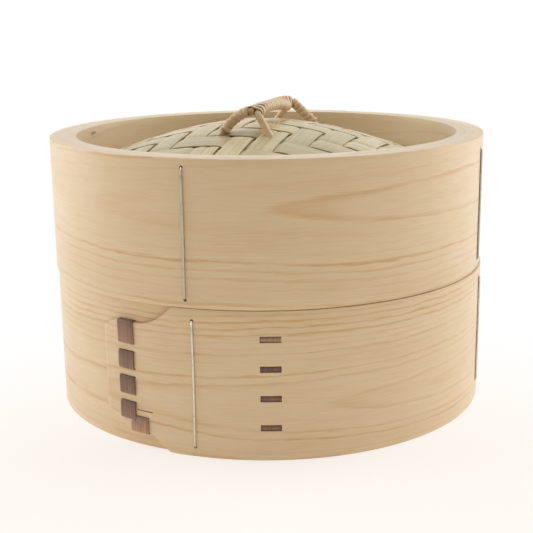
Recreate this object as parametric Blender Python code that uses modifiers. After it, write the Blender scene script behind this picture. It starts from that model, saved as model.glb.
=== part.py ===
"""Bentwood steamer basket: a tier with a slatted floor, and a lid with a woven top and a cane handle.

Metres, +Z up, origin at the centre of the tier's foot. Angles run from the front (-Y) towards +X.
Each ring is modelled from its own lower edge, and the lid's pieces hang on an empty that stands on the tier.
"""

import math

import bmesh
import bpy
import numpy as np
from mathutils import Matrix, Vector

# Rings
OUTER_RADIUS = 0.105
OUTER_HOOP_WALL = 0.0045
INNER_HOOP_WALL = 0.0078
TIER_HEIGHT = 0.0661
LID_HEIGHT = 0.0625
LID_SHIFT = (-0.0008, -0.0001)
FIT_GAP = 0.0003
RING_STEPS = 60

# Lap of an outer hoop, measured along the outside from the tip of its tongue
LAP_LENGTH = 0.0993
LAP_LEAD = 0.045
LAP_FEATHER = 0.020
TONGUE_TIP_WALL = 0.0006
TONGUE_TOP_ROOT = 0.0381
TONGUE_TOP_DROP = 0.0095
TONGUE_TOP_NECK = 0.0176
TONGUE_TOP_NOSE = (0.0090, 0.0043)
TONGUE_FOOT_ROOT = 0.0357
TONGUE_FOOT_RISE = 0.0070
TONGUE_FOOT_NECK = 0.0095
TONGUE_FOOT_NOSE = (0.0147, 0.0070)
TIER_TONGUE_ANGLE = math.radians(-44.2)
LID_TONGUE_ANGLE = math.radians(132.4)

# Scarf joint of an inner hoop
SCARF_LENGTH = 0.060
SCARF_TIP_WALL = 0.0006
TIER_UPPER_SCARF_ANGLE = math.radians(100)
TIER_LOWER_SCARF_ANGLE = math.radians(200)
LID_UPPER_SCARF_ANGLE = math.radians(20)
LID_LOWER_SCARF_ANGLE = math.radians(280)

# Bark lacing, placed along the outside from the tip of the tongue
BARK_WIDTH = 0.0088
BARK_THICKNESS = 0.0005
BARK_TUCK = 0.0028
STITCH_COLUMN = 0.0139
STITCH_COUNT = 4
STITCH_SKIP = 0.0036
STITCH_HEAD = 0.0098
STITCH_FOOT = 0.0049
TAIL_COLUMN = 0.0222
TAIL_WIDTH = 0.0060
TAIL_RUN = 0.0068
WINDOW_COLUMN = 0.0810
WINDOW_COUNT = 4
WINDOW_HEIGHT = 0.0028
WINDOW_RECESS = 0.0008
WINDOW_TOP_MARGIN = 0.0123
WINDOW_FOOT_MARGIN = 0.0147

# Wire staples: angle, then how far the upper and lower legs lie inside the ring's edges
WIRE_DIAMETER = 0.0010
WIRE_BEND = 0.0010
WIRE_CLINCH = 0.0040
TIER_WIRES = (
    (math.radians(-18.2), 0.0056, 0.0047),
    (math.radians(72.0), 0.0043, 0.0093),
    (math.radians(160.0), 0.0060, 0.0060),
    (math.radians(252.0), 0.0060, 0.0060),
)
LID_WIRES = (
    (math.radians(-19.2), 0.0039, 0.0037),
    (math.radians(70.6), 0.0059, 0.0043),
    (math.radians(166.0), 0.0062, 0.0040),
    (math.radians(254.4), 0.0030, 0.0040),
)

# Floor
LOWER_HOOP_HEIGHT = 0.0160
SLAT_WIDTH = 0.0110
SLAT_PITCH = 0.0146
SLAT_THICKNESS = 0.0026
SLAT_EDGE = 0.0006
FLOOR_BEARING = 0.0055
CROSSBAR_WIDTH = 0.0120
CROSSBAR_THICKNESS = 0.0050
CROSSBAR_OFFSET = 0.0350

# Woven top: depth of its seat below the rim, height of its crown above the rim, flat border and side shift
WEAVE_DEPTH = 0.0160
WEAVE_CROWN = 0.0051
WEAVE_POWER = 1.75
WEAVE_BORDER = 0.0064
WEAVE_OFF_CENTRE = -0.0030
WEAVE_THICKNESS = 0.0016
LINING_THICKNESS = 0.0012
WEAVE_BEARING = 0.0055
WEAVE_RINGS = 8
WEAVE_STEPS = 36

# Handle, seen from above: the far half mirrors the near half through the middle of the grip, apart from one foot
GRIP_MIDDLE = (0.0034, 0.0)
GRIP_NEAR_END = (-0.0053, -0.0313)
GRIP_HEIGHT = 0.0125
GRIP_FAR_DROP = 0.0022
WRAPPED_FOOT = (-0.0211, -0.0277)
WRAPPED_FAR_FOOT = (0.0258, 0.0277)
PLAIN_FOOT = (0.00185, -0.0349)
WRAPPED_LEG_BULGE = 0.0020
LEG_RISE = (0.33, 0.67)
WRAPPED_CANE = 0.0026
PLAIN_CANE = 0.0034
PAIR_NEAR_ANGLE = math.radians(180)
PAIR_FAR_ANGLE = math.radians(50)
PAIR_TWIST = 4
PAIR_SPREAD = 0.0014
FOOT_DROP = 0.0055
FOOT_TAIL = 0.0070
FOOT_TAIL_SLOPE = 0.30
STRAND_DIAMETER = 0.0010
GRIP_LOOPS = 17
GRIP_WOUND = (0.07, 0.93)
LEG_LOOPS_NEAR = 7
LEG_LOOPS_FAR = 6
LEG_FOOT_CLEAR = 0.0030
LEG_GRIP_CLEAR = 0.0010
LOOP_POINTS = 12

# What follows from them
OUTER_HOOP_INSIDE = OUTER_RADIUS - OUTER_HOOP_WALL
INNER_HOOP_OUTSIDE = OUTER_HOOP_INSIDE - FIT_GAP
INNER_RADIUS = INNER_HOOP_OUTSIDE - INNER_HOOP_WALL
RING_STEP = 2 * math.pi / RING_STEPS
FLOOR_LOW = LOWER_HOOP_HEIGHT + FIT_GAP
FLOOR_HIGH = FLOOR_LOW + SLAT_THICKNESS
WEAVE_SEAT = LID_HEIGHT - WEAVE_DEPTH
WEAVE_STACK = WEAVE_THICKNESS + FIT_GAP + LINING_THICKNESS
LID_BASE = TIER_HEIGHT + FIT_GAP
# The flat bark inside a round hoop clears it at the bark's edges and at the middle of the hoop's facets
BARK_INSIDE_FACE = INNER_HOOP_OUTSIDE * math.cos(RING_STEP / 2) - BARK_WIDTH**2 / (8 * OUTER_HOOP_INSIDE)
BARK_INSIDE = BARK_INSIDE_FACE - BARK_THICKNESS / 2
BARK_OUTSIDE = OUTER_RADIUS + FIT_GAP + BARK_THICKNESS / 2

for leftover in list(bpy.data.objects):
    bpy.data.objects.remove(leftover, do_unlink=True)

parts = bpy.data.collections.new("steamer_basket")
cutters = bpy.data.collections.new("cutters")
bpy.context.scene.collection.children.link(parts)
bpy.context.scene.collection.children.link(cutters)


def finish(name, colour, roughness, metallic=0.0):
    """A plain Principled material."""
    material = bpy.data.materials.new(name)
    material.use_nodes = True
    shader = material.node_tree.nodes["Principled BSDF"]
    shader.inputs["Base Color"].default_value = (*colour, 1.0)
    shader.inputs["Roughness"].default_value = roughness
    shader.inputs["Metallic"].default_value = metallic
    return material


PALE_WOOD = finish("pale_wood", (0.62, 0.46, 0.27), 0.55)
INNER_WOOD = finish("inner_wood", (0.58, 0.43, 0.25), 0.6)
BAMBOO = finish("bamboo", (0.60, 0.47, 0.26), 0.5)
WOVEN_BAMBOO = finish("woven_bamboo", (0.58, 0.54, 0.38), 0.5)
CANE = finish("cane", (0.55, 0.38, 0.22), 0.5)
BARK = finish("bark", (0.20, 0.10, 0.08), 0.5)
WIRE = finish("wire", (0.62, 0.60, 0.55), 0.3, 1.0)


def ring_empty(name, place):
    """The axis of a ring, standing on the ring's lower edge."""
    empty = bpy.data.objects.new(name, None)
    empty.location = place
    parts.objects.link(empty)
    return empty


def place_piece(name, data, material, ring):
    """A named piece on its ring's axis, with its finish."""
    piece = bpy.data.objects.new(name, data)
    piece.data.materials.append(material)
    piece.parent = ring
    parts.objects.link(piece)
    return piece


def mesh_from(bm, name):
    """A mesh from a bmesh, round faces shaded smooth."""
    mesh = bpy.data.meshes.new(name)
    bm.to_mesh(mesh)
    bm.free()
    mesh.shade_smooth()
    mesh.set_sharp_from_angle(angle=math.radians(35))
    return mesh


def place_cutter(name, bm, ring):
    """A cutter on a ring's axis, left out of the model."""
    cutter = bpy.data.objects.new(name, mesh_from(bm, name))
    cutter.parent = ring
    cutter.hide_render = True
    cutter.display_type = "WIRE"
    cutters.objects.link(cutter)
    return cutter


def cut(piece, cutter):
    """Cut one closed piece by a closed cutter. The long thin facets of a bent board need the manifold solver."""
    boolean = piece.modifiers.new(cutter.name, "BOOLEAN")
    boolean.operation = "DIFFERENCE"
    boolean.solver = "MANIFOLD"
    boolean.object = cutter


def around(angle, radius, height):
    """A point of a ring."""
    return Vector((radius * math.sin(angle), -radius * math.cos(angle), height))


def ring_frame(angle, radius, height):
    """A frame on a ring: X outwards, Y along the ring, Z up."""
    turn = Matrix.Rotation(angle - math.pi / 2, 4, "Z")
    return Matrix.Translation(around(angle, radius, height)) @ turn


def add_box(bm, angle, low, high, width):
    """A box in a ring's wall, from (radius, height) low to high."""
    middle = ring_frame(angle, (low[0] + high[0]) / 2, (low[1] + high[1]) / 2)
    size = Matrix.Diagonal((high[0] - low[0], width, high[1] - low[1], 1.0))
    bmesh.ops.create_cube(bm, size=1.0, matrix=middle @ size)


def bent_board(name, angles, section, ring):
    """A straight board sawn across at each angle, then bent round: section gives r_in, r_out, z_low, z_high."""
    lengths = len(angles) - 1
    bm = bmesh.new()
    bmesh.ops.create_cube(bm, size=1.0)
    long_edges = [e for e in bm.edges if abs(e.verts[0].co.x - e.verts[1].co.x) > 0.5]
    bmesh.ops.subdivide_edges(bm, edges=long_edges, cuts=lengths - 1)
    for corner in bm.verts:
        angle = angles[round((corner.co.x + 0.5) * lengths)]
        r_in, r_out, z_low, z_high = section(angle)
        radius = r_out if corner.co.y < 0 else r_in
        height = z_high if corner.co.z > 0 else z_low
        corner.co = around(angle, radius, height)
    return place_piece(name, mesh_from(bm, name), PALE_WOOD, ring)


def stations(keys, end):
    """Angles from 0 to end on the ring's even steps, with the key angles put in on both turns."""
    turn = 2 * math.pi
    even = [i * RING_STEP for i in range(int(end / RING_STEP) + 1)]
    wanted = sorted([k for k in keys] + [k + turn for k in keys if k + turn <= end + 1e-9])
    near = 0.2 * RING_STEP
    kept = [a for a in even if all(abs(a - k) > near for k in wanted)]
    return sorted(kept + wanted)


def tongue_top(x, height):
    """Upper edge of a hoop at a distance x from the tip of its tongue."""
    nose_length, nose_drop = TONGUE_TOP_NOSE
    nose = nose_drop * max(0.0, 1 - x / nose_length)
    into_neck = min(1.0, max(0.0, (TONGUE_TOP_ROOT - x) / TONGUE_TOP_NECK))
    return height - nose - TONGUE_TOP_DROP * (1 - (1 - into_neck) ** 2)


def tongue_foot(x):
    """Lower edge of a hoop at a distance x from the tip of its tongue."""
    nose_length, nose_rise = TONGUE_FOOT_NOSE
    nose = nose_rise * max(0.0, 1 - x / nose_length)
    into_neck = min(1.0, max(0.0, (TONGUE_FOOT_ROOT - x) / TONGUE_FOOT_NECK))
    return nose + TONGUE_FOOT_RISE * into_neck


def under_layer(x):
    """Outside radius of the covered end of a hoop at a distance x from the tip of the tongue over it."""
    middle = OUTER_HOOP_INSIDE + (OUTER_HOOP_WALL - FIT_GAP) / 2
    xs = (-LAP_LEAD, 0.0, TONGUE_FOOT_ROOT, LAP_LENGTH - LAP_FEATHER, LAP_LENGTH)
    at_tip = OUTER_RADIUS - TONGUE_TIP_WALL - FIT_GAP
    radii = (OUTER_RADIUS, at_tip, middle, middle, OUTER_HOOP_INSIDE + TONGUE_TIP_WALL)
    return float(np.interp(x, xs, radii))


def outer_hoop(name, height, tongue_angle, ring):
    """A board bent once round and lapped: the tongue lies outside, the other end runs on under it."""
    turn = 2 * math.pi
    step = FIT_GAP / OUTER_RADIUS
    lap = LAP_LENGTH / OUTER_RADIUS
    neck_from = TONGUE_TOP_ROOT - TONGUE_TOP_NECK
    distances = [0.0, TONGUE_TOP_NOSE[0], TONGUE_FOOT_NOSE[0]]
    distances += [neck_from + TONGUE_TOP_NECK * i / 4 for i in range(5)]
    distances += [TONGUE_FOOT_ROOT - TONGUE_FOOT_NECK, TONGUE_FOOT_ROOT]
    distances += [LAP_LENGTH - LAP_FEATHER, LAP_LENGTH]
    keys = [d / OUTER_RADIUS for d in distances] + [lap + step, lap + 2 * step]
    lead = turn - LAP_LEAD / OUTER_RADIUS
    angles = stations(keys + [lead], turn + lap)

    def section(angle):
        past = angle - tongue_angle
        x = past * OUTER_RADIUS
        x_under = (past - turn) * OUTER_RADIUS
        covers = past < lap + 1.5 * step
        r_in = under_layer(x) + FIT_GAP if covers else OUTER_HOOP_INSIDE
        r_out = under_layer(x_under) if past > lead else OUTER_RADIUS
        return r_in, r_out, tongue_foot(x), tongue_top(x, height)

    return bent_board(name, [tongue_angle + a for a in angles], section, ring)


def inner_hoop(name, z_low, z_high, scarf_angle, ring):
    """A thicker board bent once round inside an outer hoop, its two ends tapered over each other."""
    turn = 2 * math.pi
    scarf = SCARF_LENGTH / INNER_HOOP_OUTSIDE
    taper = INNER_HOOP_WALL - SCARF_TIP_WALL
    end = scarf * (taper - SCARF_TIP_WALL - FIT_GAP) / taper
    step = FIT_GAP / INNER_HOOP_OUTSIDE
    angles = stations([0.0, end, scarf, turn - step], turn + end)

    def over(past):
        return INNER_HOOP_OUTSIDE - SCARF_TIP_WALL - taper * min(1.0, past / scarf)

    def section(angle):
        past = angle - scarf_angle
        r_out = INNER_HOOP_OUTSIDE
        if past > turn - step / 2:
            r_out = over(past - turn) - FIT_GAP
        return over(past), r_out, z_low, z_high

    hoop = bent_board(name, [scarf_angle + a for a in angles], section, ring)
    hoop.data.materials[0] = INNER_WOOD
    return hoop


def strip_outline(path, thickness):
    """Outline of a strip of even thickness along a path of square corners."""
    points = [Vector(p) for p in path]
    normals = []
    for a, b in zip(points, points[1:]):
        along = (b - a).normalized()
        normals.append(Vector((-along.y, along.x)))
    before = [normals[0]] + normals
    after = normals + [normals[-1]]
    mitres = [(m + n) / (1 + m.dot(n)) * thickness / 2 for m, n in zip(before, after)]
    left = [p + m for p, m in zip(points, mitres)]
    right = [p - m for p, m in zip(points, mitres)]
    return left + right[::-1]


def bark_strip(name, path, width, angle, ring):
    """A strip of bark bent through a wall: its side view, extruded to its width."""
    outline = strip_outline(path, BARK_THICKNESS)
    curve = bpy.data.curves.new(name, "CURVE")
    curve.dimensions = "2D"
    curve.fill_mode = "BOTH"
    curve.extrude = width / 2
    spline = curve.splines.new("POLY")
    spline.points.add(len(outline) - 1)
    for point, corner in zip(spline.points, outline):
        point.co = (corner.x, corner.y, 0.0, 1.0)
    spline.use_cyclic_u = True
    strip = place_piece(name, curve, BARK, ring)
    strip.rotation_euler = (math.pi / 2, 0.0, angle - math.pi / 2)
    return strip


def lace(prefix, height, tongue_angle, ring, outer, inners):
    """Bark lacing through the lap of an outer hoop, with its slits and the relief behind it."""
    inside, outside = BARK_INSIDE, BARK_OUTSIDE
    half = BARK_THICKNESS / 2 + FIT_GAP
    top_edge = height - TONGUE_TOP_DROP
    foot_edge = TONGUE_FOOT_RISE
    slit_radii = (OUTER_HOOP_INSIDE - FIT_GAP, OUTER_RADIUS + FIT_GAP)
    slits = bmesh.new()

    # Left column: over the top edge of the tongue, then in and out down to its foot
    stitch_angle = tongue_angle + STITCH_COLUMN / OUTER_RADIUS
    pitch = (top_edge - foot_edge - STITCH_HEAD - STITCH_FOOT) / (STITCH_COUNT - 1)
    enters = [top_edge - STITCH_HEAD - pitch * i for i in range(STITCH_COUNT)]
    leaves = [top_edge + half] + [z - STITCH_SKIP for z in enters[:-1]]
    path = [(inside, leaves[0] + BARK_TUCK)]
    for z_out, z_in in zip(leaves, enters):
        path += [(inside, z_out), (outside, z_out), (outside, z_in), (inside, z_in)]
    path.append((inside, enters[-1] + BARK_TUCK))
    bark_strip(f"{prefix}_lacing_left", path, BARK_WIDTH, stitch_angle, ring)
    for z in leaves + enters:
        low, high = (slit_radii[0], z - half), (slit_radii[1], z + half)
        add_box(slits, stitch_angle, low, high, BARK_WIDTH + 2 * FIT_GAP)

    # Tail: the strip's end, stepped along the hoop and taken under the foot of the tongue
    tail_angle = tongue_angle + TAIL_COLUMN / OUTER_RADIUS
    tail_high = foot_edge + TAIL_RUN
    tail_low = foot_edge - half
    path = [(inside, tail_high - BARK_TUCK), (inside, tail_high), (outside, tail_high)]
    path += [(outside, tail_low), (inside, tail_low), (inside, tail_low + BARK_TUCK)]
    bark_strip(f"{prefix}_lacing_tail", path, TAIL_WIDTH, tail_angle, ring)
    for z in (tail_high, tail_low):
        low, high = (slit_radii[0], z - half), (slit_radii[1], z + half)
        add_box(slits, tail_angle, low, high, TAIL_WIDTH + 2 * FIT_GAP)

    # Right column: long runs inside, short runs sunk in windows
    window_angle = tongue_angle + WINDOW_COLUMN / OUTER_RADIUS
    sunk = OUTER_RADIUS - WINDOW_RECESS - BARK_THICKNESS / 2
    window_pitch = (height - WINDOW_TOP_MARGIN - WINDOW_FOOT_MARGIN) / (WINDOW_COUNT - 1)
    middles = [height - WINDOW_TOP_MARGIN - window_pitch * i for i in range(WINDOW_COUNT)]
    reach = WINDOW_HEIGHT / 2 - half
    path = [(inside, middles[0] + reach + BARK_TUCK)]
    for z in middles:
        path += [(inside, z + reach), (sunk, z + reach), (sunk, z - reach), (inside, z - reach)]
    path.append((inside, middles[-1] - reach - BARK_TUCK))
    bark_strip(f"{prefix}_lacing_right", path, BARK_WIDTH, window_angle, ring)
    for z in middles:
        low = (slit_radii[0], z - WINDOW_HEIGHT / 2)
        high = (slit_radii[1], z + WINDOW_HEIGHT / 2)
        add_box(slits, window_angle, low, high, BARK_WIDTH + 2 * FIT_GAP)
    cut(outer, place_cutter(f"{prefix}_slits", slits, ring))

    # Relief in the inner hoops for the bark's inside runs
    relief = bmesh.new()
    floor = BARK_INSIDE_FACE - BARK_THICKNESS - FIT_GAP
    tuck = BARK_TUCK + half + FIT_GAP
    wall_out = INNER_HOOP_OUTSIDE + FIT_GAP
    columns = (
        (stitch_angle, BARK_WIDTH, enters[-1] - half - FIT_GAP, leaves[0] + tuck),
        (tail_angle, TAIL_WIDTH, tail_low - half - FIT_GAP, tail_high + half + FIT_GAP),
        (window_angle, BARK_WIDTH, middles[-1] - reach - tuck, middles[0] + reach + tuck),
    )
    for angle, width, z_low, z_high in columns:
        add_box(relief, angle, (floor, z_low), (wall_out, z_high), width + 2 * FIT_GAP)
    reliefs = place_cutter(f"{prefix}_lacing_relief", relief, ring)
    for hoop in inners:
        cut(hoop, reliefs)


def tube(name, points, diameter, resolution, material, ring):
    """A round rod along points."""
    curve = bpy.data.curves.new(name, "CURVE")
    curve.dimensions = "3D"
    curve.bevel_depth = diameter / 2
    curve.bevel_resolution = resolution
    curve.use_fill_caps = True
    spline = curve.splines.new("POLY")
    spline.points.add(len(points) - 1)
    for point, place in zip(spline.points, points):
        point.co = (*place, 1.0)
    return place_piece(name, curve, material, ring)


def rounded(corners, bend):
    """A path with each corner eased off."""
    path = [corners[0]]
    for before, corner, after in zip(corners, corners[1:], corners[2:]):
        start = corner + (before - corner).normalized() * bend
        stop = corner + (after - corner).normalized() * bend
        path += [start, stop]
    return path + [corners[-1]]


def staple(prefix, wires, height, ring, hoops):
    """Wire staples: an outside run, two legs through the wall and clinched ends inside."""
    outside = OUTER_RADIUS + FIT_GAP + WIRE_DIAMETER / 2
    inside = INNER_RADIUS - FIT_GAP - WIRE_DIAMETER / 2
    holes = bmesh.new()
    for count, (angle, from_top, from_foot) in enumerate(wires, start=1):
        high, low = height - from_top, from_foot
        aside = Vector((math.cos(angle), math.sin(angle), 0.0)) * WIRE_CLINCH
        corners = [around(angle, inside, high) + aside]
        corners += [around(angle, inside, high), around(angle, outside, high)]
        corners += [around(angle, outside, low), around(angle, inside, low)]
        corners.append(around(angle, inside, low) + aside)
        tube(f"{prefix}_wire_{count}", rounded(corners, WIRE_BEND), WIRE_DIAMETER, 1, WIRE, ring)
        for z in (high, low):
            middle = ring_frame(angle, (OUTER_RADIUS + INNER_RADIUS) / 2, z)
            bore = WIRE_DIAMETER / 2 + FIT_GAP
            depth = outside - inside
            level = Matrix.Rotation(math.pi / 2, 4, "Y")
            bmesh.ops.create_cone(holes, cap_ends=True, segments=10, radius1=bore, radius2=bore,
                                  depth=depth, matrix=middle @ level)
    drill = place_cutter(f"{prefix}_wire_holes", holes, ring)
    for hoop in hoops:
        cut(hoop, drill)


def bar(name, size, place, material, ring):
    """A straight bar with eased edges."""
    bm = bmesh.new()
    bmesh.ops.create_cube(bm, size=1.0, matrix=Matrix.Diagonal((*size, 1.0)))
    piece = place_piece(name, mesh_from(bm, name), material, ring)
    piece.location = place
    bevel = piece.modifiers.new("eased_edges", "BEVEL")
    bevel.width = SLAT_EDGE
    bevel.segments = 1
    bevel.limit_method = "ANGLE"
    return piece


def chord_half(offset, radius):
    """Half the length that fits across a circle at a distance from its middle."""
    return math.sqrt(radius**2 - offset**2)


def build_floor(ring, lower_hoop):
    """Bamboo slats held between the inner hoops, on two crossbars let into the lower hoop."""
    reach = INNER_RADIUS + FLOOR_BEARING
    each_side = int((reach - SLAT_WIDTH / 2) / SLAT_PITCH)
    for count in range(2 * each_side + 1):
        y = (count - each_side) * SLAT_PITCH
        half = chord_half(abs(y) + SLAT_WIDTH / 2, reach)
        size = (2 * half, SLAT_WIDTH, SLAT_THICKNESS)
        place = (0.0, y, FLOOR_LOW + SLAT_THICKNESS / 2)
        bar(f"tier_slat_{count + 1:02d}", size, place, BAMBOO, ring)
    notches = bmesh.new()
    bar_half = chord_half(CROSSBAR_OFFSET + CROSSBAR_WIDTH / 2, reach)
    bar_high = LOWER_HOOP_HEIGHT
    for name, x in (("left", -CROSSBAR_OFFSET), ("right", CROSSBAR_OFFSET)):
        size = (CROSSBAR_WIDTH, 2 * bar_half, CROSSBAR_THICKNESS)
        place = Vector((x, 0.0, bar_high - CROSSBAR_THICKNESS / 2))
        bar(f"tier_crossbar_{name}", size, place, BAMBOO, ring)
        room = Matrix.Diagonal((*(s + 2 * FIT_GAP for s in size), 1.0))
        bmesh.ops.create_cube(notches, size=1.0, matrix=Matrix.Translation(place) @ room)
    cut(lower_hoop, place_cutter("tier_crossbar_notches", notches, ring))


def weave_height(x, y):
    """Upper face of the woven top above the lid's lower edge. The dome sits a little off the ring's axis."""
    share = min(1.0, math.hypot(x - WEAVE_OFF_CENTRE, y) / (INNER_RADIUS - WEAVE_BORDER))
    return WEAVE_SEAT + (WEAVE_DEPTH + WEAVE_CROWN) * (1 - share**WEAVE_POWER)


def woven_shell(name, drop, thickness, ring, holes):
    """A domed sheet with a flat border: a flat disc turned from its outline and raised to the dome."""
    radii = [INNER_RADIUS * i / WEAVE_RINGS for i in range(WEAVE_RINGS + 1)] + [INNER_RADIUS + WEAVE_BEARING]
    bm = bmesh.new()
    upper = [bm.verts.new((r, 0.0, -drop)) for r in radii]
    lower = [bm.verts.new((r, 0.0, -drop - thickness)) for r in reversed(radii)]
    outline = upper + lower
    edges = [bm.edges.new(pair) for pair in zip(outline, outline[1:])]
    bmesh.ops.spin(bm, geom=outline + edges, cent=(0, 0, 0), axis=(0, 0, 1), angle=2 * math.pi, steps=WEAVE_STEPS)
    bmesh.ops.remove_doubles(bm, verts=bm.verts, dist=0.00001)
    bmesh.ops.recalc_face_normals(bm, faces=bm.faces)
    for vertex in bm.verts:
        vertex.co.z += weave_height(vertex.co.x, vertex.co.y)
    shell = place_piece(name, mesh_from(bm, name), WOVEN_BAMBOO, ring)
    cut(shell, holes)
    return shell


def smooth_route(points, per_span):
    """Points along a smooth curve through the given ones (Catmull-Rom), and the index of each given point."""
    ghosts = [2 * points[0] - points[1]] + points + [2 * points[-1] - points[-2]]
    route = []
    for i in range(1, len(points)):
        a, b, c, d = ghosts[i - 1 : i + 3]
        for j in range(per_span):
            t = j / per_span
            bend = (2 * a - 5 * b + 4 * c - d) * t**2 + (3 * b - a - 3 * c + d) * t**3
            route.append((2 * b + (c - a) * t + bend) / 2)
    return route + [points[-1]], [i * per_span for i in range(len(points))]


def mirrored(point):
    """The same point of the handle's far half."""
    return (2 * GRIP_MIDDLE[0] - point[0], 2 * GRIP_MIDDLE[1] - point[1])


GRIP_FAR_END = mirrored(GRIP_NEAR_END)
GRIP_ALONG = Vector((GRIP_FAR_END[0] - GRIP_NEAR_END[0], GRIP_FAR_END[1] - GRIP_NEAR_END[1], 0.0)).normalized()
GRIP_ASIDE = Vector((GRIP_ALONG.y, -GRIP_ALONG.x, 0.0))


def pair_in_grip(share):
    """Middles of both canes at a share of the grip: side by side, twisting, and spread where the winding ends."""
    z = LID_HEIGHT + GRIP_HEIGHT
    middle = Vector((*GRIP_NEAR_END, z)).lerp(Vector((*GRIP_FAR_END, z - GRIP_FAR_DROP)), share)
    angle = PAIR_NEAR_ANGLE + (PAIR_FAR_ANGLE - PAIR_NEAR_ANGLE) * share**PAIR_TWIST
    bare = max(0.0, 1 - min(share / GRIP_WOUND[0], (1 - share) / (1 - GRIP_WOUND[1])))
    apart = (WRAPPED_CANE + PLAIN_CANE) / 2 + FIT_GAP + PAIR_SPREAD * bare
    toward = (GRIP_ASIDE * math.cos(angle) + Vector((0, 0, math.sin(angle)))) * apart / 2
    return middle + toward, middle - toward


def leg_points(foot, grip_end, cane, bulge):
    """One leg from its tail under the lining up to the grip: tail, knee, throat, foot and a bowed rise."""
    surface = Vector((*foot, weave_height(*foot)))
    up = (grip_end - surface).normalized()
    throat = surface - up * ((WEAVE_STACK + FIT_GAP + cane) / up.z)
    knee = surface - up * ((FOOT_DROP + cane) / up.z)
    outwards = Vector((-up.x, -up.y, 0.0)).normalized()
    tail = knee + (outwards - Vector((0, 0, FOOT_TAIL_SLOPE))) * FOOT_TAIL
    rise = [surface.lerp(grip_end, s) + Vector((0, 0, 4 * bulge * s * (1 - s))) for s in LEG_RISE]
    return [tail, knee, throat, surface] + rise


def arch(name, which, near_foot, far_foot, near_bulge, cane, ring, holes):
    """One cane of the handle: a leg, the grip and the other leg. Its feet pass through the woven top."""
    shares = (0.0, 0.05, 0.12, 0.3, 0.5, 0.65, 0.75, 0.83, 0.9, 0.95, 1.0)
    grip = [pair_in_grip(s)[which] for s in shares]
    near = leg_points(near_foot, grip[0], cane, near_bulge)
    far = leg_points(far_foot, grip[-1], cane, 0.0)
    route, marks = smooth_route(near + grip + far[::-1], 2)
    tube(name, route, cane, 2, CANE, ring)
    for leg, top in ((near, grip[0]), (far, grip[-1])):
        along = (top - leg[2]).normalized()
        middle = leg[3]
        length = 2 * (leg[3] - leg[2]).length
        aim = along.to_track_quat("Z", "Y").to_matrix().to_4x4()
        bore = cane / 2 + FIT_GAP
        bmesh.ops.create_cone(holes, cap_ends=True, segments=12, radius1=bore, radius2=bore,
                              depth=length, matrix=Matrix.Translation(middle) @ aim)
    foot_mark = len(near) - len(LEG_RISE) - 1
    grip_mark = len(near)
    far_grip_mark = len(near) + len(grip) - 1
    far_foot_mark = far_grip_mark + len(LEG_RISE) + 1
    return route, [marks[m] for m in (foot_mark, grip_mark, far_grip_mark, far_foot_mark)]


def least_gap(points, diameter):
    """Least gap of a wound tube to itself, measured between points more than half a loop apart."""
    places = np.array([tuple(p) for p in points])
    skip = LOOP_POINTS // 2
    nearest = min(
        float(np.linalg.norm(places[i + skip :] - places[i], axis=1).min()) for i in range(len(places) - skip)
    )
    return nearest - diameter


def wind(name, points, ring):
    """A cane strand wound in loops, its least gap to itself printed."""
    print(f"{name}: least gap {least_gap(points, STRAND_DIAMETER) * 1000:.2f} mm")
    return tube(name, points, STRAND_DIAMETER, 1, CANE, ring)


def grip_winding(ring):
    """Strand wound round both canes along the grip."""
    off = FIT_GAP + STRAND_DIAMETER / 2
    total = GRIP_LOOPS * LOOP_POINTS
    points = []
    for i in range(total + 1):
        share = GRIP_WOUND[0] + (GRIP_WOUND[1] - GRIP_WOUND[0]) * i / total
        turn = 2 * math.pi * i / LOOP_POINTS
        facing = GRIP_ASIDE * math.cos(turn) + Vector((0, 0, math.sin(turn)))
        wrapped, plain = pair_in_grip(share)
        discs = ((wrapped, WRAPPED_CANE / 2), (plain, PLAIN_CANE / 2))
        middle, radius = max(discs, key=lambda disc: disc[0].dot(facing) + disc[1])
        points.append(middle + facing * (radius + off))
    return wind("handle_grip_winding", points, ring)


def leg_winding(name, route, start, stop, loops, ring):
    """Strand wound openly round one leg of the wrapped cane, between two places of its route."""
    leg = route[start : stop + 1]
    lengths = np.cumsum([0.0] + [(b - a).length for a, b in zip(leg, leg[1:])])
    radius = WRAPPED_CANE / 2 + FIT_GAP + STRAND_DIAMETER / 2
    places = np.array([tuple(p) for p in leg])
    total = loops * LOOP_POINTS
    run = np.linspace(LEG_FOOT_CLEAR, lengths[-1] - LEG_GRIP_CLEAR, total + 1)
    step = 0.0005
    points = []
    for i, at in enumerate(run):
        middle, ahead = (Vector([np.interp(s, lengths, places[:, k]) for k in range(3)]) for s in (at, at + step))
        along = (ahead - middle).normalized()
        side = along.cross(Vector((0, 0, 1))).normalized()
        turn = 2 * math.pi * i / LOOP_POINTS
        points.append(middle + (side * math.cos(turn) + side.cross(along) * math.sin(turn)) * radius)
    return wind(name, points, ring)


def build_tier(ring):
    """The tier: two layers of wall, lacing, wires and floor."""
    outer = outer_hoop("tier_outer_hoop", TIER_HEIGHT, TIER_TONGUE_ANGLE, ring)
    upper = inner_hoop("tier_upper_inner_hoop", FLOOR_HIGH + FIT_GAP, TIER_HEIGHT, TIER_UPPER_SCARF_ANGLE, ring)
    lower = inner_hoop("tier_lower_inner_hoop", 0.0, LOWER_HOOP_HEIGHT, TIER_LOWER_SCARF_ANGLE, ring)
    lace("tier", TIER_HEIGHT, TIER_TONGUE_ANGLE, ring, outer, (upper, lower))
    staple("tier", TIER_WIRES, TIER_HEIGHT, ring, (outer, upper, lower))
    build_floor(ring, lower)


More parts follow.
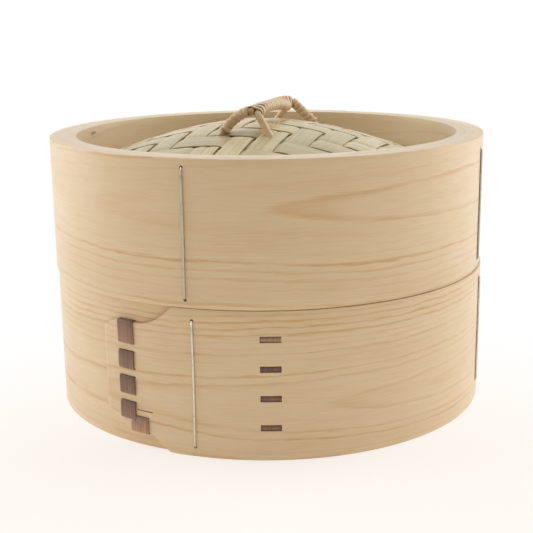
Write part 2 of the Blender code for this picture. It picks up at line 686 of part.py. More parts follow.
def build_lid(ring):
    """The lid: two layers of wall, lacing and wires, with the woven top held between its inner hoops."""
    outer = outer_hoop("lid_outer_hoop", LID_HEIGHT, LID_TONGUE_ANGLE, ring)
    seat_low = WEAVE_SEAT - WEAVE_STACK - FIT_GAP
    seat_high = WEAVE_SEAT + FIT_GAP
    upper = inner_hoop("lid_upper_inner_hoop", seat_high, LID_HEIGHT, LID_UPPER_SCARF_ANGLE, ring)
    lower = inner_hoop("lid_lower_inner_hoop", 0.0, seat_low, LID_LOWER_SCARF_ANGLE, ring)
    lace("lid", LID_HEIGHT, LID_TONGUE_ANGLE, ring, outer, (upper, lower))
    staple("lid", LID_WIRES, LID_HEIGHT, ring, (outer, upper, lower))


def build_handle(ring):
    """The cane handle and its windings. Returns the cutter for its feet."""
    bm = bmesh.new()
    route, marks = arch("handle_arch_a", 0, WRAPPED_FOOT, WRAPPED_FAR_FOOT, WRAPPED_LEG_BULGE, WRAPPED_CANE, ring, bm)
    arch("handle_arch_b", 1, PLAIN_FOOT, mirrored(PLAIN_FOOT), 0.0, PLAIN_CANE, ring, bm)
    grip_winding(ring)
    foot, grip, far_grip, far_foot = marks
    leg_winding("handle_leg_winding_front", route, foot, grip, LEG_LOOPS_NEAR, ring)
    back = route[::-1]
    last = len(route) - 1
    leg_winding("handle_leg_winding_rear", back, last - far_foot, last - far_grip, LEG_LOOPS_FAR, ring)
    return place_cutter("handle_feet", bm, ring)


tier_axis = ring_empty("tier", (0.0, 0.0, 0.0))
lid_axis = ring_empty("lid", (*LID_SHIFT, LID_BASE))
build_tier(tier_axis)
build_lid(lid_axis)
feet = build_handle(lid_axis)
woven_shell("lid_woven_top", 0.0, WEAVE_THICKNESS, lid_axis, feet)
woven_shell("lid_woven_lining", WEAVE_THICKNESS + FIT_GAP, LINING_THICKNESS, lid_axis, feet)
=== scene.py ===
import math
from functools import partial

import bpy
import numpy as np
from mathutils import Matrix, Vector


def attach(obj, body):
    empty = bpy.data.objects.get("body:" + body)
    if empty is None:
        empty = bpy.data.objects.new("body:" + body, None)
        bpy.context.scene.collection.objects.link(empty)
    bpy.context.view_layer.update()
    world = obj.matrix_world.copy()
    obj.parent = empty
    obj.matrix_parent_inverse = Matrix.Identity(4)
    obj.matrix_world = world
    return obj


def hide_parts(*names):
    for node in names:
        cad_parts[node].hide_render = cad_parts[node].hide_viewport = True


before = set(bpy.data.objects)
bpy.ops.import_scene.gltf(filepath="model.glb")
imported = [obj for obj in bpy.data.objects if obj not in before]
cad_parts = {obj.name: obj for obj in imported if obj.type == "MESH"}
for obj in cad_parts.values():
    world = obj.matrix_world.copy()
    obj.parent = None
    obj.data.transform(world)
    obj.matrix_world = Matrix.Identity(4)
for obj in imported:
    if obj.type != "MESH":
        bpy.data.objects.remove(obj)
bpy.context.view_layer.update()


# Camera: a short telephoto view from the front and a little above, as the basket was photographed.
# Its lens, place, turn and lean are fitted to the basket's rims.
IMAGE_WIDTH = 533
FOCAL_PIXELS = 1056.8
SENSOR_WIDTH = 36.0
NEAR_CLIP = 0.01
CAMERA_PLACE = (0.0, -0.522454, 0.187267)
CAMERA_YAW = -0.0030
CAMERA_PITCH = 0.24
CAMERA_ROLL = 0.0127

bpy.ops.object.select_all(action="DESELECT")
bpy.ops.object.camera_add(location=CAMERA_PLACE)
camera = bpy.context.object
camera.data.sensor_fit = "HORIZONTAL"
camera.data.sensor_width = SENSOR_WIDTH
camera.data.lens = FOCAL_PIXELS / IMAGE_WIDTH * SENSOR_WIDTH
camera.data.clip_start = NEAR_CLIP
turn_up = Matrix.Rotation(math.pi / 2 - CAMERA_PITCH, 4, "X")
turn_aside = Matrix.Rotation(-CAMERA_YAW, 4, "Z")
lean = Matrix.Rotation(-CAMERA_ROLL, 4, "Z")
camera.matrix_world = Matrix.Translation(CAMERA_PLACE) @ turn_aside @ turn_up @ lean
bpy.context.scene.camera = camera
bpy.context.scene.view_settings.view_transform = "Standard"


# Studio: a plain bright white table with soft boxes above and at both sides, set a little behind the basket.
# So the round wall is palest at its left and right edges, and the lid's far inner wall lies in half shade.
FLOOR_RADIUS = 3.0
FLOOR_SIDES = 128
FLOOR_WHITE = (0.90, 0.895, 0.88, 1.0)
WARM_WHITE = (1.0, 0.985, 0.96, 1.0)
WHITE = (1.0, 1.0, 1.0, 1.0)
SURROUND_LIGHT = 0.31
TABLE_LIGHT = 0.38
NEAR_GREY = (0.40, 0.385, 0.36, 1.0)
NEAR_GLOW = (1.0, 0.965, 0.925, 1.0)
NEAR_LIGHT = 0.665
FADE_MIDDLE = (0.0, -0.28, 0.0)
FADE_RUN = (0.17, 0.42)
LIGHT_AIM = Vector((0.0, 0.0, 0.07))
SOFT_BOXES = (
    ("left", (-0.95, 0.30, 0.45), 0.9, 5.9),
    ("right", (0.95, 0.28, 0.45), 0.9, 5.8),
    ("above", (0.05, 0.10, 1.25), 1.2, 5.5),
)


def node(tree, kind, inputs=None, **settings):
    """A shader node with its settings, each input set to a value or linked to another node's output."""
    made = tree.nodes.new(kind)
    for key, value in settings.items():
        setattr(made, key, value)
    for key, value in (inputs or {}).items():
        if isinstance(value, bpy.types.NodeSocket):
            tree.links.new(value, made.inputs[key])
        else:
            made.inputs[key].default_value = value
    return made


def sums(tree, operation, a, b=0.0, c=0.0):
    """One step of arithmetic between values or node outputs."""
    return node(tree, "ShaderNodeMath", {0: a, 1: b, 2: c}, operation=operation).outputs[0]


def ramp(tree, value, low, high, to_low=0.0, to_high=1.0):
    """A smooth step of a value from one level to another."""
    inputs = {"Value": value, "From Min": low, "From Max": high, "To Min": to_low, "To Max": to_high}
    return node(tree, "ShaderNodeMapRange", inputs, interpolation_type="SMOOTHSTEP").outputs[0]


for name, place, size, power in SOFT_BOXES:
    bpy.ops.object.light_add(type="AREA", location=place)
    soft_box = bpy.context.object
    soft_box.name = f"soft_box_{name}"
    soft_box.data.size = size
    soft_box.data.energy = power
    soft_box.rotation_euler = (LIGHT_AIM - Vector(place)).to_track_quat("-Z", "Y").to_euler()

surround = bpy.data.worlds.new("surround")
surround.use_nodes = True
bpy.context.scene.world = surround
tree = surround.node_tree
tree.nodes.clear()
rays = node(tree, "ShaderNodeLightPath").outputs
seen = sums(tree, "MAXIMUM", rays["Is Camera Ray"], rays["Is Glossy Ray"])
seen = sums(tree, "MAXIMUM", seen, rays["Is Transmission Ray"])
lit = node(tree, "ShaderNodeBackground", {"Color": WARM_WHITE, "Strength": SURROUND_LIGHT})
white = node(tree, "ShaderNodeBackground", {"Color": WHITE, "Strength": 1.0})
both = node(tree, "ShaderNodeMixShader", {0: seen, 1: lit.outputs[0], 2: white.outputs[0]})
node(tree, "ShaderNodeOutputWorld", {"Surface": both.outputs[0]})

bpy.ops.object.select_all(action="DESELECT")
bpy.ops.mesh.primitive_circle_add(vertices=FLOOR_SIDES, radius=FLOOR_RADIUS, fill_type="NGON")
floor = bpy.context.object
floor.name = "table"
table_white = bpy.data.materials.new("table_white")
table_white.use_nodes = True
tree = table_white.node_tree
tree.nodes.clear()
rays = node(tree, "ShaderNodeLightPath").outputs
matt = node(tree, "ShaderNodeBsdfDiffuse", {"Color": FLOOR_WHITE})
# The table also glows a little for light that reaches the basket: painted light from below, in place of light
# bounced off the table.
shine = node(tree, "ShaderNodeEmission", {"Color": WARM_WHITE, "Strength": TABLE_LIGHT})
bright = node(tree, "ShaderNodeAddShader", {0: matt.outputs[0], 1: shine.outputs[0]})
half_matt = node(tree, "ShaderNodeBsdfDiffuse", {"Color": NEAR_GREY})
glow = node(tree, "ShaderNodeEmission", {"Color": NEAR_GLOW, "Strength": NEAR_LIGHT})
near = node(tree, "ShaderNodeAddShader", {0: half_matt.outputs[0], 1: glow.outputs[0]})
away = node(tree, "ShaderNodeEmission", {"Color": WHITE, "Strength": 1.0})
spot = node(tree, "ShaderNodeTexCoord").outputs["Object"]
run = node(tree, "ShaderNodeVectorMath", {0: spot, 1: FADE_MIDDLE}, operation="DISTANCE").outputs["Value"]
far_share = ramp(tree, run, *FADE_RUN)
pale = node(tree, "ShaderNodeMixShader", {0: far_share, 1: near.outputs[0], 2: away.outputs[0]})
both = node(tree, "ShaderNodeMixShader", {0: rays["Is Camera Ray"], 1: bright.outputs[0], 2: pale.outputs[0]})
node(tree, "ShaderNodeOutputMaterial", {"Surface": both.outputs[0]})
floor.data.materials.append(table_white)


# Tier wall: one thin board of pale softwood, steamed and bent once round, its ends lapped at the front left.
# The outer end is cut to a thinned tongue and lies over the other end. It is shaped flat and then bent:
# on the flat board x runs round the ring, -y outwards and z up.
HOOP_RADIUS = 0.105
HOOP_WALL = 0.0045
EDGE_EASE = 0.00028
EASED_ABOVE = math.radians(50)
FIT_GAP = 0.0003
TIER_HEIGHT = 0.0661
LAP_LENGTH = 0.0993
LAP_LEAD = 0.045
LAP_FEATHER = 0.020
TONGUE_TIP_WALL = 0.0006
TONGUE_TOP_ROOT = 0.0381
TONGUE_TOP_DROP = 0.0095
TONGUE_TOP_NECK = 0.0176
TONGUE_TOP_NOSE = (0.0090, 0.0043)
TONGUE_FOOT_ROOT = 0.0357
TONGUE_FOOT_RISE = 0.0070
TONGUE_FOOT_NECK = 0.0095
TONGUE_FOOT_NOSE = (0.0147, 0.0070)
TIER_TONGUE = math.radians(-44.2)
BARK_WIDTH = 0.0088
BARK_THICKNESS = 0.0005
STITCH_COLUMN = 0.0139
STITCH_COUNT = 4
STITCH_SKIP = 0.0036
STITCH_HEAD = 0.0098
STITCH_FOOT = 0.0049
TAIL_LEFT = 0.0154
TAIL_RIGHT = 0.0249
TAIL_RUN = 0.0068
TAIL_SLIT_STEP = 0.0002
WINDOW_COLUMN = 0.0810
WINDOW_COUNT = 4
WINDOW_HEIGHT = 0.0028
WINDOW_TOP_MARGIN = 0.0123
WINDOW_FOOT_MARGIN = 0.0147
SLIT_ROOM = 0.0001
SLIT_DEPTH = 0.02
SLIT_MIDDLE = 0.002
KERF_LEFT = 0.0186
KERF_RIGHT = 0.0273
KERF_HEIGHT = 0.0169
KERF_DEPTH = 0.0024
KERF_WIDTH = 0.00055
WIRE_BORE = 0.00078
WIRE_PLAY = 0.00028
BORE_LENGTH = 0.06
BORE_SIDES = 14
TIER_WIRES = ((-18.2, 0.0056, 0.0047), (72.0, 0.0043, 0.0093), (160.0, 0.006, 0.006), (252.0, 0.006, 0.006))
SEAM_REACH = 1.02
SEAM_KEPT = 0.06
WALL_COLUMNS = 450
WALL_ROWS = 22
HOOP_IN = HOOP_RADIUS - HOOP_WALL
ONE_TURN = 2 * math.pi * HOOP_RADIUS
LAYERS = (-ONE_TURN, 0.0, ONE_TURN, 2 * ONE_TURN)
TIER_AXIS = (0.0, 0.0, 0.0)


def select_only(piece):
    """Selects one piece and makes it the active one."""
    bpy.ops.object.select_all(action="DESELECT")
    piece.select_set(True)
    bpy.context.view_layer.objects.active = piece


def apply_modifier(piece, modifier):
    """Applies a modifier to the piece's mesh."""
    select_only(piece)
    bpy.ops.object.modifier_apply(modifier=modifier.name)


def new_piece(name, add, **shape):
    """A new piece from one of Blender's primitives, selected by itself."""
    bpy.ops.object.select_all(action="DESELECT")
    add(**shape)
    piece = bpy.context.object
    piece.name = name
    piece.data.name = name
    return piece


def new_grid(name, columns, rows):
    """A new flat grid, one unit wide and high."""
    add = bpy.ops.mesh.primitive_grid_add
    return new_piece(name, add, x_subdivisions=columns, y_subdivisions=rows, size=1.0)


def edit_all(step, **how):
    """Takes one step in edit mode on the whole mesh of the active piece."""
    bpy.ops.object.mode_set(mode="EDIT")
    bpy.ops.mesh.select_all(action="SELECT")
    step(**how)
    bpy.ops.object.mode_set(mode="OBJECT")


def face_outwards():
    """Turns all faces of the active piece outwards."""
    edit_all(bpy.ops.mesh.normals_make_consistent, inside=False)


def shade_smooth(degrees):
    """Shades the selected piece smooth, but for edges sharper than an angle."""
    bpy.ops.object.shade_smooth_by_angle(angle=math.radians(degrees))


def corners_of(piece):
    """All points of a mesh as rows of x, y, z."""
    places = np.empty(len(piece.data.vertices) * 3)
    piece.data.vertices.foreach_get("co", places)
    return places.reshape(-1, 3)


def move_corners(piece, places):
    """Puts the points of a mesh at new places."""
    piece.data.vertices.foreach_set("co", places.ravel())


def note_places(piece, name, places):
    """Keeps a place on each point of a piece, which its material follows after bending."""
    note = piece.data.attributes.new(name, "FLOAT_VECTOR", "POINT")
    note.data.foreach_set("vector", places.ravel())


def flat_board(name, start, stop, columns, rows, section):
    """A flat board from x start to stop. Its section gives inside and outside radius, foot and top at x."""
    board = new_grid(name, columns, rows)
    edit_all(bpy.ops.mesh.extrude_region)
    for corner in board.data.vertices:
        x = start + (corner.co.x + 0.5) * (stop - start)
        r_in, r_out, low, high = section(x)
        radius = r_out if corner.select else r_in
        corner.co = (x, HOOP_RADIUS - radius, low + (corner.co.y + 0.5) * (high - low))
    face_outwards()
    return board


def ease_edges(piece, width, segments=2):
    """Takes the sharpness off a piece's edges."""
    bevel = piece.modifiers.new("eased", "BEVEL")
    bevel.width = width
    bevel.segments = segments
    bevel.limit_method = "ANGLE"
    bevel.angle_limit = EASED_ABOVE
    bevel.use_clamp_overlap = True
    apply_modifier(piece, bevel)


def close_seam(piece, radius, heights):
    """Draws the eased edges at one radius back to square, where two layers of wall meet in one rim."""
    places = corners_of(piece)
    beside = np.abs(places[:, 1] - HOOP_RADIUS + radius) < SEAM_REACH * EDGE_EASE
    for height in heights:
        rows = beside & (np.abs(places[:, 2] - height) < SEAM_REACH * EDGE_EASE)
        places[rows, 2] = height + SEAM_KEPT * (places[rows, 2] - height)
    move_corners(piece, places)


def cut_out(piece, boxes, bores):
    """Cuts boxes, each a middle and a size, and round bores at (x, z) through a flat board."""
    bpy.ops.object.select_all(action="DESELECT")
    bpy.ops.object.add(type="MESH")
    cutter = bpy.context.object
    bpy.ops.object.mode_set(mode="EDIT")
    for middle, size in boxes:
        bpy.ops.mesh.primitive_cube_add(size=1.0, location=middle, scale=size)
    for x, z in bores:
        bpy.ops.mesh.primitive_cylinder_add(
            vertices=BORE_SIDES, radius=WIRE_BORE, depth=BORE_LENGTH,
            location=(x, 0.0, z), rotation=(math.pi / 2, 0.0, 0.0),
        )
    bpy.ops.object.mode_set(mode="OBJECT")
    boolean = piece.modifiers.new("cut", "BOOLEAN")
    boolean.operation = "DIFFERENCE"
    boolean.solver = "MANIFOLD"
    boolean.object = cutter
    apply_modifier(piece, boolean)
    bpy.data.objects.remove(cutter, do_unlink=True)


def on_board(x, begin, stop):
    """Where a place on the ring falls on a flat board that goes round it more than once."""
    return [x + layer for layer in LAYERS if begin < x + layer < stop]


def finish_board(board, seam, heights, boxes, bores):
    """Eases a board's edges but for its seam, makes its cuts and keeps its flat places for the grain."""
    ease_edges(board, EDGE_EASE)
    close_seam(board, seam, heights)
    cut_out(board, boxes, bores)
    note_places(board, "board", corners_of(board))


def bend_round(piece, axis):
    """Bends a flat piece round the ring whose foot stands on axis."""
    along = [corner.co.x for corner in piece.data.vertices]
    bend = piece.modifiers.new("bend", "SIMPLE_DEFORM")
    bend.deform_method = "BEND"
    bend.deform_axis = "Z"
    bend.angle = (max(along) - min(along)) / HOOP_RADIUS
    apply_modifier(piece, bend)
    piece.data.transform(Matrix.Translation(Vector(axis) - Vector((0.0, HOOP_RADIUS, 0.0))))
    shade_smooth(32)


def settle(piece, material, body, slot, *nodes):
    """Gives a piece its finish, its body and the CAD nodes that it stands for, which are hidden. The slot is
    not used.
    """
    piece.data.materials.clear()
    piece.data.materials.append(material)
    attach(piece, body)
    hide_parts(*nodes)


def tongue_top(x, height):
    """Upper edge of a wall at a distance x from the tip of its tongue."""
    nose_length, nose_drop = TONGUE_TOP_NOSE
    nose = nose_drop * max(0.0, 1 - x / nose_length) ** 1.5
    into_neck = min(1.0, max(0.0, (TONGUE_TOP_ROOT - x) / TONGUE_TOP_NECK))
    return height - nose - TONGUE_TOP_DROP * (1 - (1 - into_neck) ** 2)


def tongue_foot(x):
    """Lower edge of a wall at a distance x from the tip of its tongue."""
    nose_length, nose_rise = TONGUE_FOOT_NOSE
    nose = nose_rise * max(0.0, 1 - x / nose_length)
    into_neck = min(1.0, max(0.0, (TONGUE_FOOT_ROOT - x) / TONGUE_FOOT_NECK))
    return nose + TONGUE_FOOT_RISE * into_neck


def under_layer(x):
    """Outside radius of the covered end of a wall at a distance x from the tip of the tongue over it."""
    middle = HOOP_IN + (HOOP_WALL - FIT_GAP) / 2
    at = (-LAP_LEAD, 0.0, TONGUE_FOOT_ROOT, LAP_LENGTH - LAP_FEATHER, LAP_LENGTH)
    at_tip = HOOP_RADIUS - TONGUE_TIP_WALL - FIT_GAP
    return float(np.interp(x, at, (HOOP_RADIUS, at_tip, middle, middle, HOOP_IN + TONGUE_TIP_WALL)))


def stitch_heights(height):
    """Where the left lacing comes out of the wall and goes back in, from the top down."""
    top = height - TONGUE_TOP_DROP
    pitch = (top - TONGUE_FOOT_RISE - STITCH_HEAD - STITCH_FOOT) / (STITCH_COUNT - 1)
    enters = [top - STITCH_HEAD - pitch * i for i in range(STITCH_COUNT)]
    leaves = [top + BARK_THICKNESS / 2] + [z - STITCH_SKIP for z in enters[:-1]]
    return leaves, enters


def window_heights(height):
    """Middles of the right lacing's windows, from the top down."""
    pitch = (height - WINDOW_TOP_MARGIN - WINDOW_FOOT_MARGIN) / (WINDOW_COUNT - 1)
    return [height - WINDOW_TOP_MARGIN - pitch * i for i in range(WINDOW_COUNT)]


def outer_wall(ring, wood, height, tongue_angle, wires, axis):
    """The outer wall of a ring: a board with its tongue, slits, windows and wire holes, bent round."""
    tip = HOOP_RADIUS * tongue_angle

    def section(x):
        past = x - tip
        r_in = under_layer(past) + FIT_GAP if past < LAP_LENGTH + FIT_GAP else HOOP_IN
        r_out = under_layer(past - ONE_TURN) if past > ONE_TURN - LAP_LEAD else HOOP_RADIUS
        return r_in, r_out, tongue_foot(past), tongue_top(past, height)

    stop = tip + ONE_TURN + LAP_LENGTH
    wall = flat_board(f"{ring}_wall", tip, stop, WALL_COLUMNS, WALL_ROWS, section)
    slit = BARK_THICKNESS + 2 * SLIT_ROOM
    leaves, enters = stitch_heights(height)
    tail_top = TONGUE_FOOT_RISE + TAIL_RUN
    tail_foot = TONGUE_FOOT_RISE - slit / 2
    stitch_right = STITCH_COLUMN + BARK_WIDTH / 2 + SLIT_ROOM
    spans = [(STITCH_COLUMN - BARK_WIDTH / 2 - SLIT_ROOM, stitch_right, z, slit) for z in leaves + enters]
    spans.append((stitch_right + TAIL_SLIT_STEP, TAIL_RIGHT + SLIT_ROOM, tail_top, slit))
    spans.append((TAIL_LEFT - SLIT_ROOM, TAIL_RIGHT + SLIT_ROOM, tail_foot, slit))
    half_window = BARK_WIDTH / 2 + SLIT_ROOM
    for z in window_heights(height):
        spans.append((WINDOW_COLUMN - half_window, WINDOW_COLUMN + half_window, z, WINDOW_HEIGHT))
    kerf_middle = (tip + (KERF_LEFT + KERF_RIGHT) / 2, 0.0, KERF_HEIGHT)
    boxes = [(kerf_middle, (KERF_RIGHT - KERF_LEFT, KERF_DEPTH, KERF_WIDTH))]
    for layer in (0.0, ONE_TURN):
        for left, right, z, tall in spans:
            middle = (tip + layer + (left + right) / 2, SLIT_MIDDLE, z)
            boxes.append((middle, (right - left, SLIT_DEPTH, tall)))
    bores = []
    for angle, from_top, from_foot in wires:
        for x in on_board(HOOP_RADIUS * math.radians(angle), tip, stop):
            bores += [(x, height - from_top + WIRE_PLAY), (x, from_foot - WIRE_PLAY)]
    finish_board(wall, HOOP_IN, (0.0, height), boxes, bores)
    bend_round(wall, axis)
    settle(wall, wood, ring, "pale_wood", f"{ring}_outer_hoop")


def number_group(name, ins, outs):
    """An empty shader node group with a vector called Place, number inputs and number outputs."""
    group = bpy.data.node_groups.new(name, "ShaderNodeTree")
    group.interface.new_socket("Place", in_out="INPUT", socket_type="NodeSocketVector")
    for socket_name, value in ins:
        socket = group.interface.new_socket(socket_name, in_out="INPUT", socket_type="NodeSocketFloat")
        socket.default_value = value
    for socket_name in outs:
        group.interface.new_socket(socket_name, in_out="OUTPUT", socket_type="NodeSocketFloat")
    return group, node(group, "NodeGroupInput").outputs, node(group, "NodeGroupOutput").inputs


def stretched(tree, axes, scales, offset=0.0):
    """A place scaled on each axis, and moved along by an offset."""
    parts = [sums(tree, "MULTIPLY", axis, scale) for axis, scale in zip(axes, scales)]
    parts[0] = sums(tree, "ADD", parts[0], offset)
    return node(tree, "ShaderNodeCombineXYZ", dict(enumerate(parts))).outputs[0]


def clouds(tree, place, detail=2.0, rough=0.5):
    """Smooth noise at a place, from 0 to 1."""
    inputs = {"Vector": place, "Scale": 1.0, "Detail": detail, "Roughness": rough}
    return node(tree, "ShaderNodeTexNoise", inputs).outputs["Fac"]


def chance(tree, number):
    """A value from 0 to 1 that a number always gives again."""
    return node(tree, "ShaderNodeTexWhiteNoise", {"W": number}, noise_dimensions="1D").outputs["Value"]


def blend(tree, share, a, b, way="MIX"):
    """Two colours mixed by a share."""
    a, b = ((*colour, 1.0) if isinstance(colour, tuple) else colour for colour in (a, b))
    return node(tree, "ShaderNodeMix", {0: share, 6: a, 7: b}, data_type="RGBA", blend_type=way).outputs[2]


# Growth rings cut by a flat board: rings round a pith behind it, which lies deeper at one side of the hoop.
# They wander, fray and differ in strength. The group gives the late wood, fibre and blotch at each place.
RING_INPUTS = (
    ("Pith Depth", 0.03), ("Swing", 0.3), ("Pith Height", 0.03),
    ("Ring Width", 0.002), ("Wander", 0.002), ("Start", 0.0), ("Shift", 0.0), ("Boldness", 0.0),
)
FRAY = 0.0030
UNEVEN = 0.8
growth_rings, ins, outs = number_group("growth_rings", RING_INPUTS, ("Late Wood", "Fibre", "Blotch"))
x, y, z = node(growth_rings, "ShaderNodeSeparateXYZ", {0: ins["Place"]}).outputs
ring_sum = partial(sums, growth_rings)
ring_ramp = partial(ramp, growth_rings)


def ring_clouds(scales, detail, rough=0.5, first=x, offset=ins["Start"]):
    """Smooth noise on the flat board, drawn out along the grain."""
    return clouds(growth_rings, stretched(growth_rings, (first, y, z), scales, offset), detail, rough)


slow = ring_sum("SUBTRACT", ring_clouds((9.0, 0.0, 5.0), 1.5), 0.5)
quick = ring_sum("SUBTRACT", ring_clouds((55.0, 0.0, 70.0), 3.0), 0.5)
wander = ring_sum("ADD", ring_sum("MULTIPLY", slow, 3.0), ring_sum("MULTIPLY", quick, 0.9))
rise = ring_sum("SUBTRACT", z, ins["Pith Height"])
rise = ring_sum("MULTIPLY_ADD", wander, ins["Wander"], rise)
frayed = ring_clouds((60.0, 0.0, 900.0), 3.0, 0.6)
rise = ring_sum("MULTIPLY_ADD", ring_sum("SUBTRACT", frayed, 0.5), FRAY, rise)
round_share = ring_sum("SINE", ring_sum("DIVIDE", x, HOOP_RADIUS))
swing = ring_sum("SUBTRACT", 1.0, ring_sum("MULTIPLY", round_share, ins["Swing"]))
deep = ring_sum("MULTIPLY_ADD", ins["Pith Depth"], swing, y)
rise_square = ring_sum("MULTIPLY", rise, rise)
from_pith = ring_sum("SQRT", ring_sum("MULTIPLY_ADD", deep, deep, rise_square))
rings = ring_sum("ADD", ring_sum("DIVIDE", from_pith, ins["Ring Width"]), ins["Shift"])
uneven = ring_clouds((0.37, 0.0, 0.0), 1.0, first=rings)
rings = ring_sum("MULTIPLY_ADD", ring_sum("SUBTRACT", uneven, 0.5), UNEVEN, rings)
within = ring_sum("FRACT", rings)
dark = ring_sum("POWER", ring_ramp(within, 0.35, 0.86), 1.8)
dark = ring_sum("MULTIPLY", dark, ring_ramp(within, 0.82, 1.0, 1.0, 0.0))
strength = chance(growth_rings, ring_sum("ADD", ring_sum("FLOOR", rings), ins["Boldness"]))
dark = ring_sum("MULTIPLY", dark, ring_ramp(strength, 0.15, 1.0, 0.10, 1.0))
patchy = ring_clouds((24.0, 0.0, 90.0), 2.0, offset=ring_sum("ADD", ins["Start"], 4.1))
dark = ring_sum("MULTIPLY", dark, ring_ramp(patchy, 0.30, 0.65, 0.45, 1.0))
growth_rings.links.new(dark, outs["Late Wood"])
growth_rings.links.new(ring_clouds((70.0, 1500.0, 1500.0), 3.0, 0.6), outs["Fibre"])
growth_rings.links.new(ring_clouds((11.0, 60.0, 70.0), 3.0), outs["Blotch"])


def new_material(name):
    """A new material, its node tree and its surface shader."""
    material = bpy.data.materials.new(name)
    material.use_nodes = True
    return material, material.node_tree, material.node_tree.nodes["Principled BSDF"]


def noted(tree, name):
    """The places that a piece keeps under a name."""
    return node(tree, "ShaderNodeAttribute", attribute_name=name).outputs["Vector"]


def dress(tree, shader, colour, rough, height, strength, distance):
    """Gives a surface its colour, roughness and fine relief."""
    bump = node(tree, "ShaderNodeBump", {"Strength": strength, "Distance": distance, "Height": height})
    for key, value in (("Base Color", colour), ("Roughness", rough), ("Normal", bump.outputs[0])):
        tree.links.new(value, shader.inputs[key])


TONE_RANGE = (0.25, 0.75, 0.94, 1.04)


def softwood(name, early, late, figure, pith, rings):
    """Bare softwood: pale early wood, orange late wood lines, fine fibres and faint blotches."""
    material, tree, shader = new_material(name)
    grain = node(tree, "ShaderNodeGroup", node_tree=growth_rings)
    tree.links.new(noted(tree, "board"), grain.inputs["Place"])
    for (key, _), value in zip(RING_INPUTS, (*pith, *rings)):
        grain.inputs[key].default_value = value
    fibre = grain.outputs["Fibre"]
    colour = blend(tree, sums(tree, "MULTIPLY", grain.outputs["Late Wood"], figure), early, late)
    fibre_tone, blotch_tone = (ramp(tree, tone, *TONE_RANGE) for tone in (fibre, grain.outputs["Blotch"]))
    tone = sums(tree, "MULTIPLY", fibre_tone, blotch_tone)
    warm = {0: sums(tree, "POWER", tone, 0.6), 1: tone, 2: sums(tree, "POWER", tone, 2.0)}
    tone_colour = node(tree, "ShaderNodeCombineColor", warm).outputs[0]
    colour = blend(tree, 1.0, colour, tone_colour, "MULTIPLY")
    dress(tree, shader, colour, ramp(tree, fibre, 0.2, 0.8, 0.54, 0.42), fibre, 0.15, 0.0004)
    shader.inputs["Specular IOR Level"].default_value = 0.5
    shader.inputs["Sheen Weight"].default_value = 0.40
    shader.inputs["Sheen Roughness"].default_value = 0.5
    return material


EARLY_WOOD = (0.750, 0.550, 0.318)
LATE_WOOD = (0.63, 0.335, 0.12)
tier_pith = (0.012, 0.45, 0.024)
tier_rings = (0.0026, 0.0018, 3.7, 0.73, 1636.0)
tier_wood = softwood("tier_wood", EARLY_WOOD, LATE_WOOD, 0.82, tier_pith, tier_rings)
outer_wall("tier", tier_wood, TIER_HEIGHT, TIER_TONGUE, TIER_WIRES, TIER_AXIS)


# Tier inner walls: two thicker boards bent round inside the outer wall, above and below the floor.
# Each one's ends are tapered over each other. The lower one is notched for the two crossbars.
INNER_WALL = 0.0078
INNER_SEAM = 0.00003
INNER_OUT = HOOP_IN - INNER_SEAM
INNER_RADIUS = HOOP_IN - FIT_GAP - INNER_WALL
INNER_COLUMNS = 400
INNER_ROW = 0.004
SCARF_LENGTH = 0.060
SCARF_TIP = 0.0002
SCARF_GAP = 0.00004
LOWER_HEIGHT = 0.016
SLAT_THICKNESS = 0.0026
BARK_TUCK = 0.0028
RELIEF_DEPTH = 0.0026
STITCH_RELIEF = 0.001
TAIL_FOOT_RELIEF = 0.0015
WINDOW_RELIEF = 0.002
CROSSBAR_WIDTH = 0.012
CROSSBAR_THICKNESS = 0.005
CROSSBAR_OFFSET = 0.035
NOTCH_INTO_WALL = 0.004
NOTCH_WIDTH = 0.0152
NOTCH_DEPTH = 0.0115
TIER_UPPER_SCARF = math.radians(100)
TIER_LOWER_SCARF = math.radians(200)
CUT_MARGIN = 0.01


def lacing_relief(height, tongue_angle):
    """Boxes let into the inner walls for the runs of bark behind the outer wall."""
    tip = HOOP_RADIUS * tongue_angle
    leaves, enters = stitch_heights(height)
    windows = window_heights(height)
    tail_low = TONGUE_FOOT_RISE - TAIL_FOOT_RELIEF
    tail_high = TONGUE_FOOT_RISE + TAIL_RUN + STITCH_RELIEF
    window_low = windows[-1] - BARK_TUCK - WINDOW_RELIEF
    window_high = windows[0] + BARK_TUCK + WINDOW_RELIEF
    spans = (
        (tip + STITCH_COLUMN, BARK_WIDTH, enters[-1] - STITCH_RELIEF, leaves[0] + BARK_TUCK + STITCH_RELIEF),
        (tip + (TAIL_LEFT + TAIL_RIGHT) / 2, TAIL_RIGHT - TAIL_LEFT, tail_low, tail_high),
        (tip + WINDOW_COLUMN, BARK_WIDTH, window_low, window_high),
    )
    deep = HOOP_WALL + FIT_GAP
    boxes = []
    for x, width, low, high in spans:
        boxes.append(((x, deep, (low + high) / 2), (width + 2 * FIT_GAP, RELIEF_DEPTH, high - low)))
    return boxes


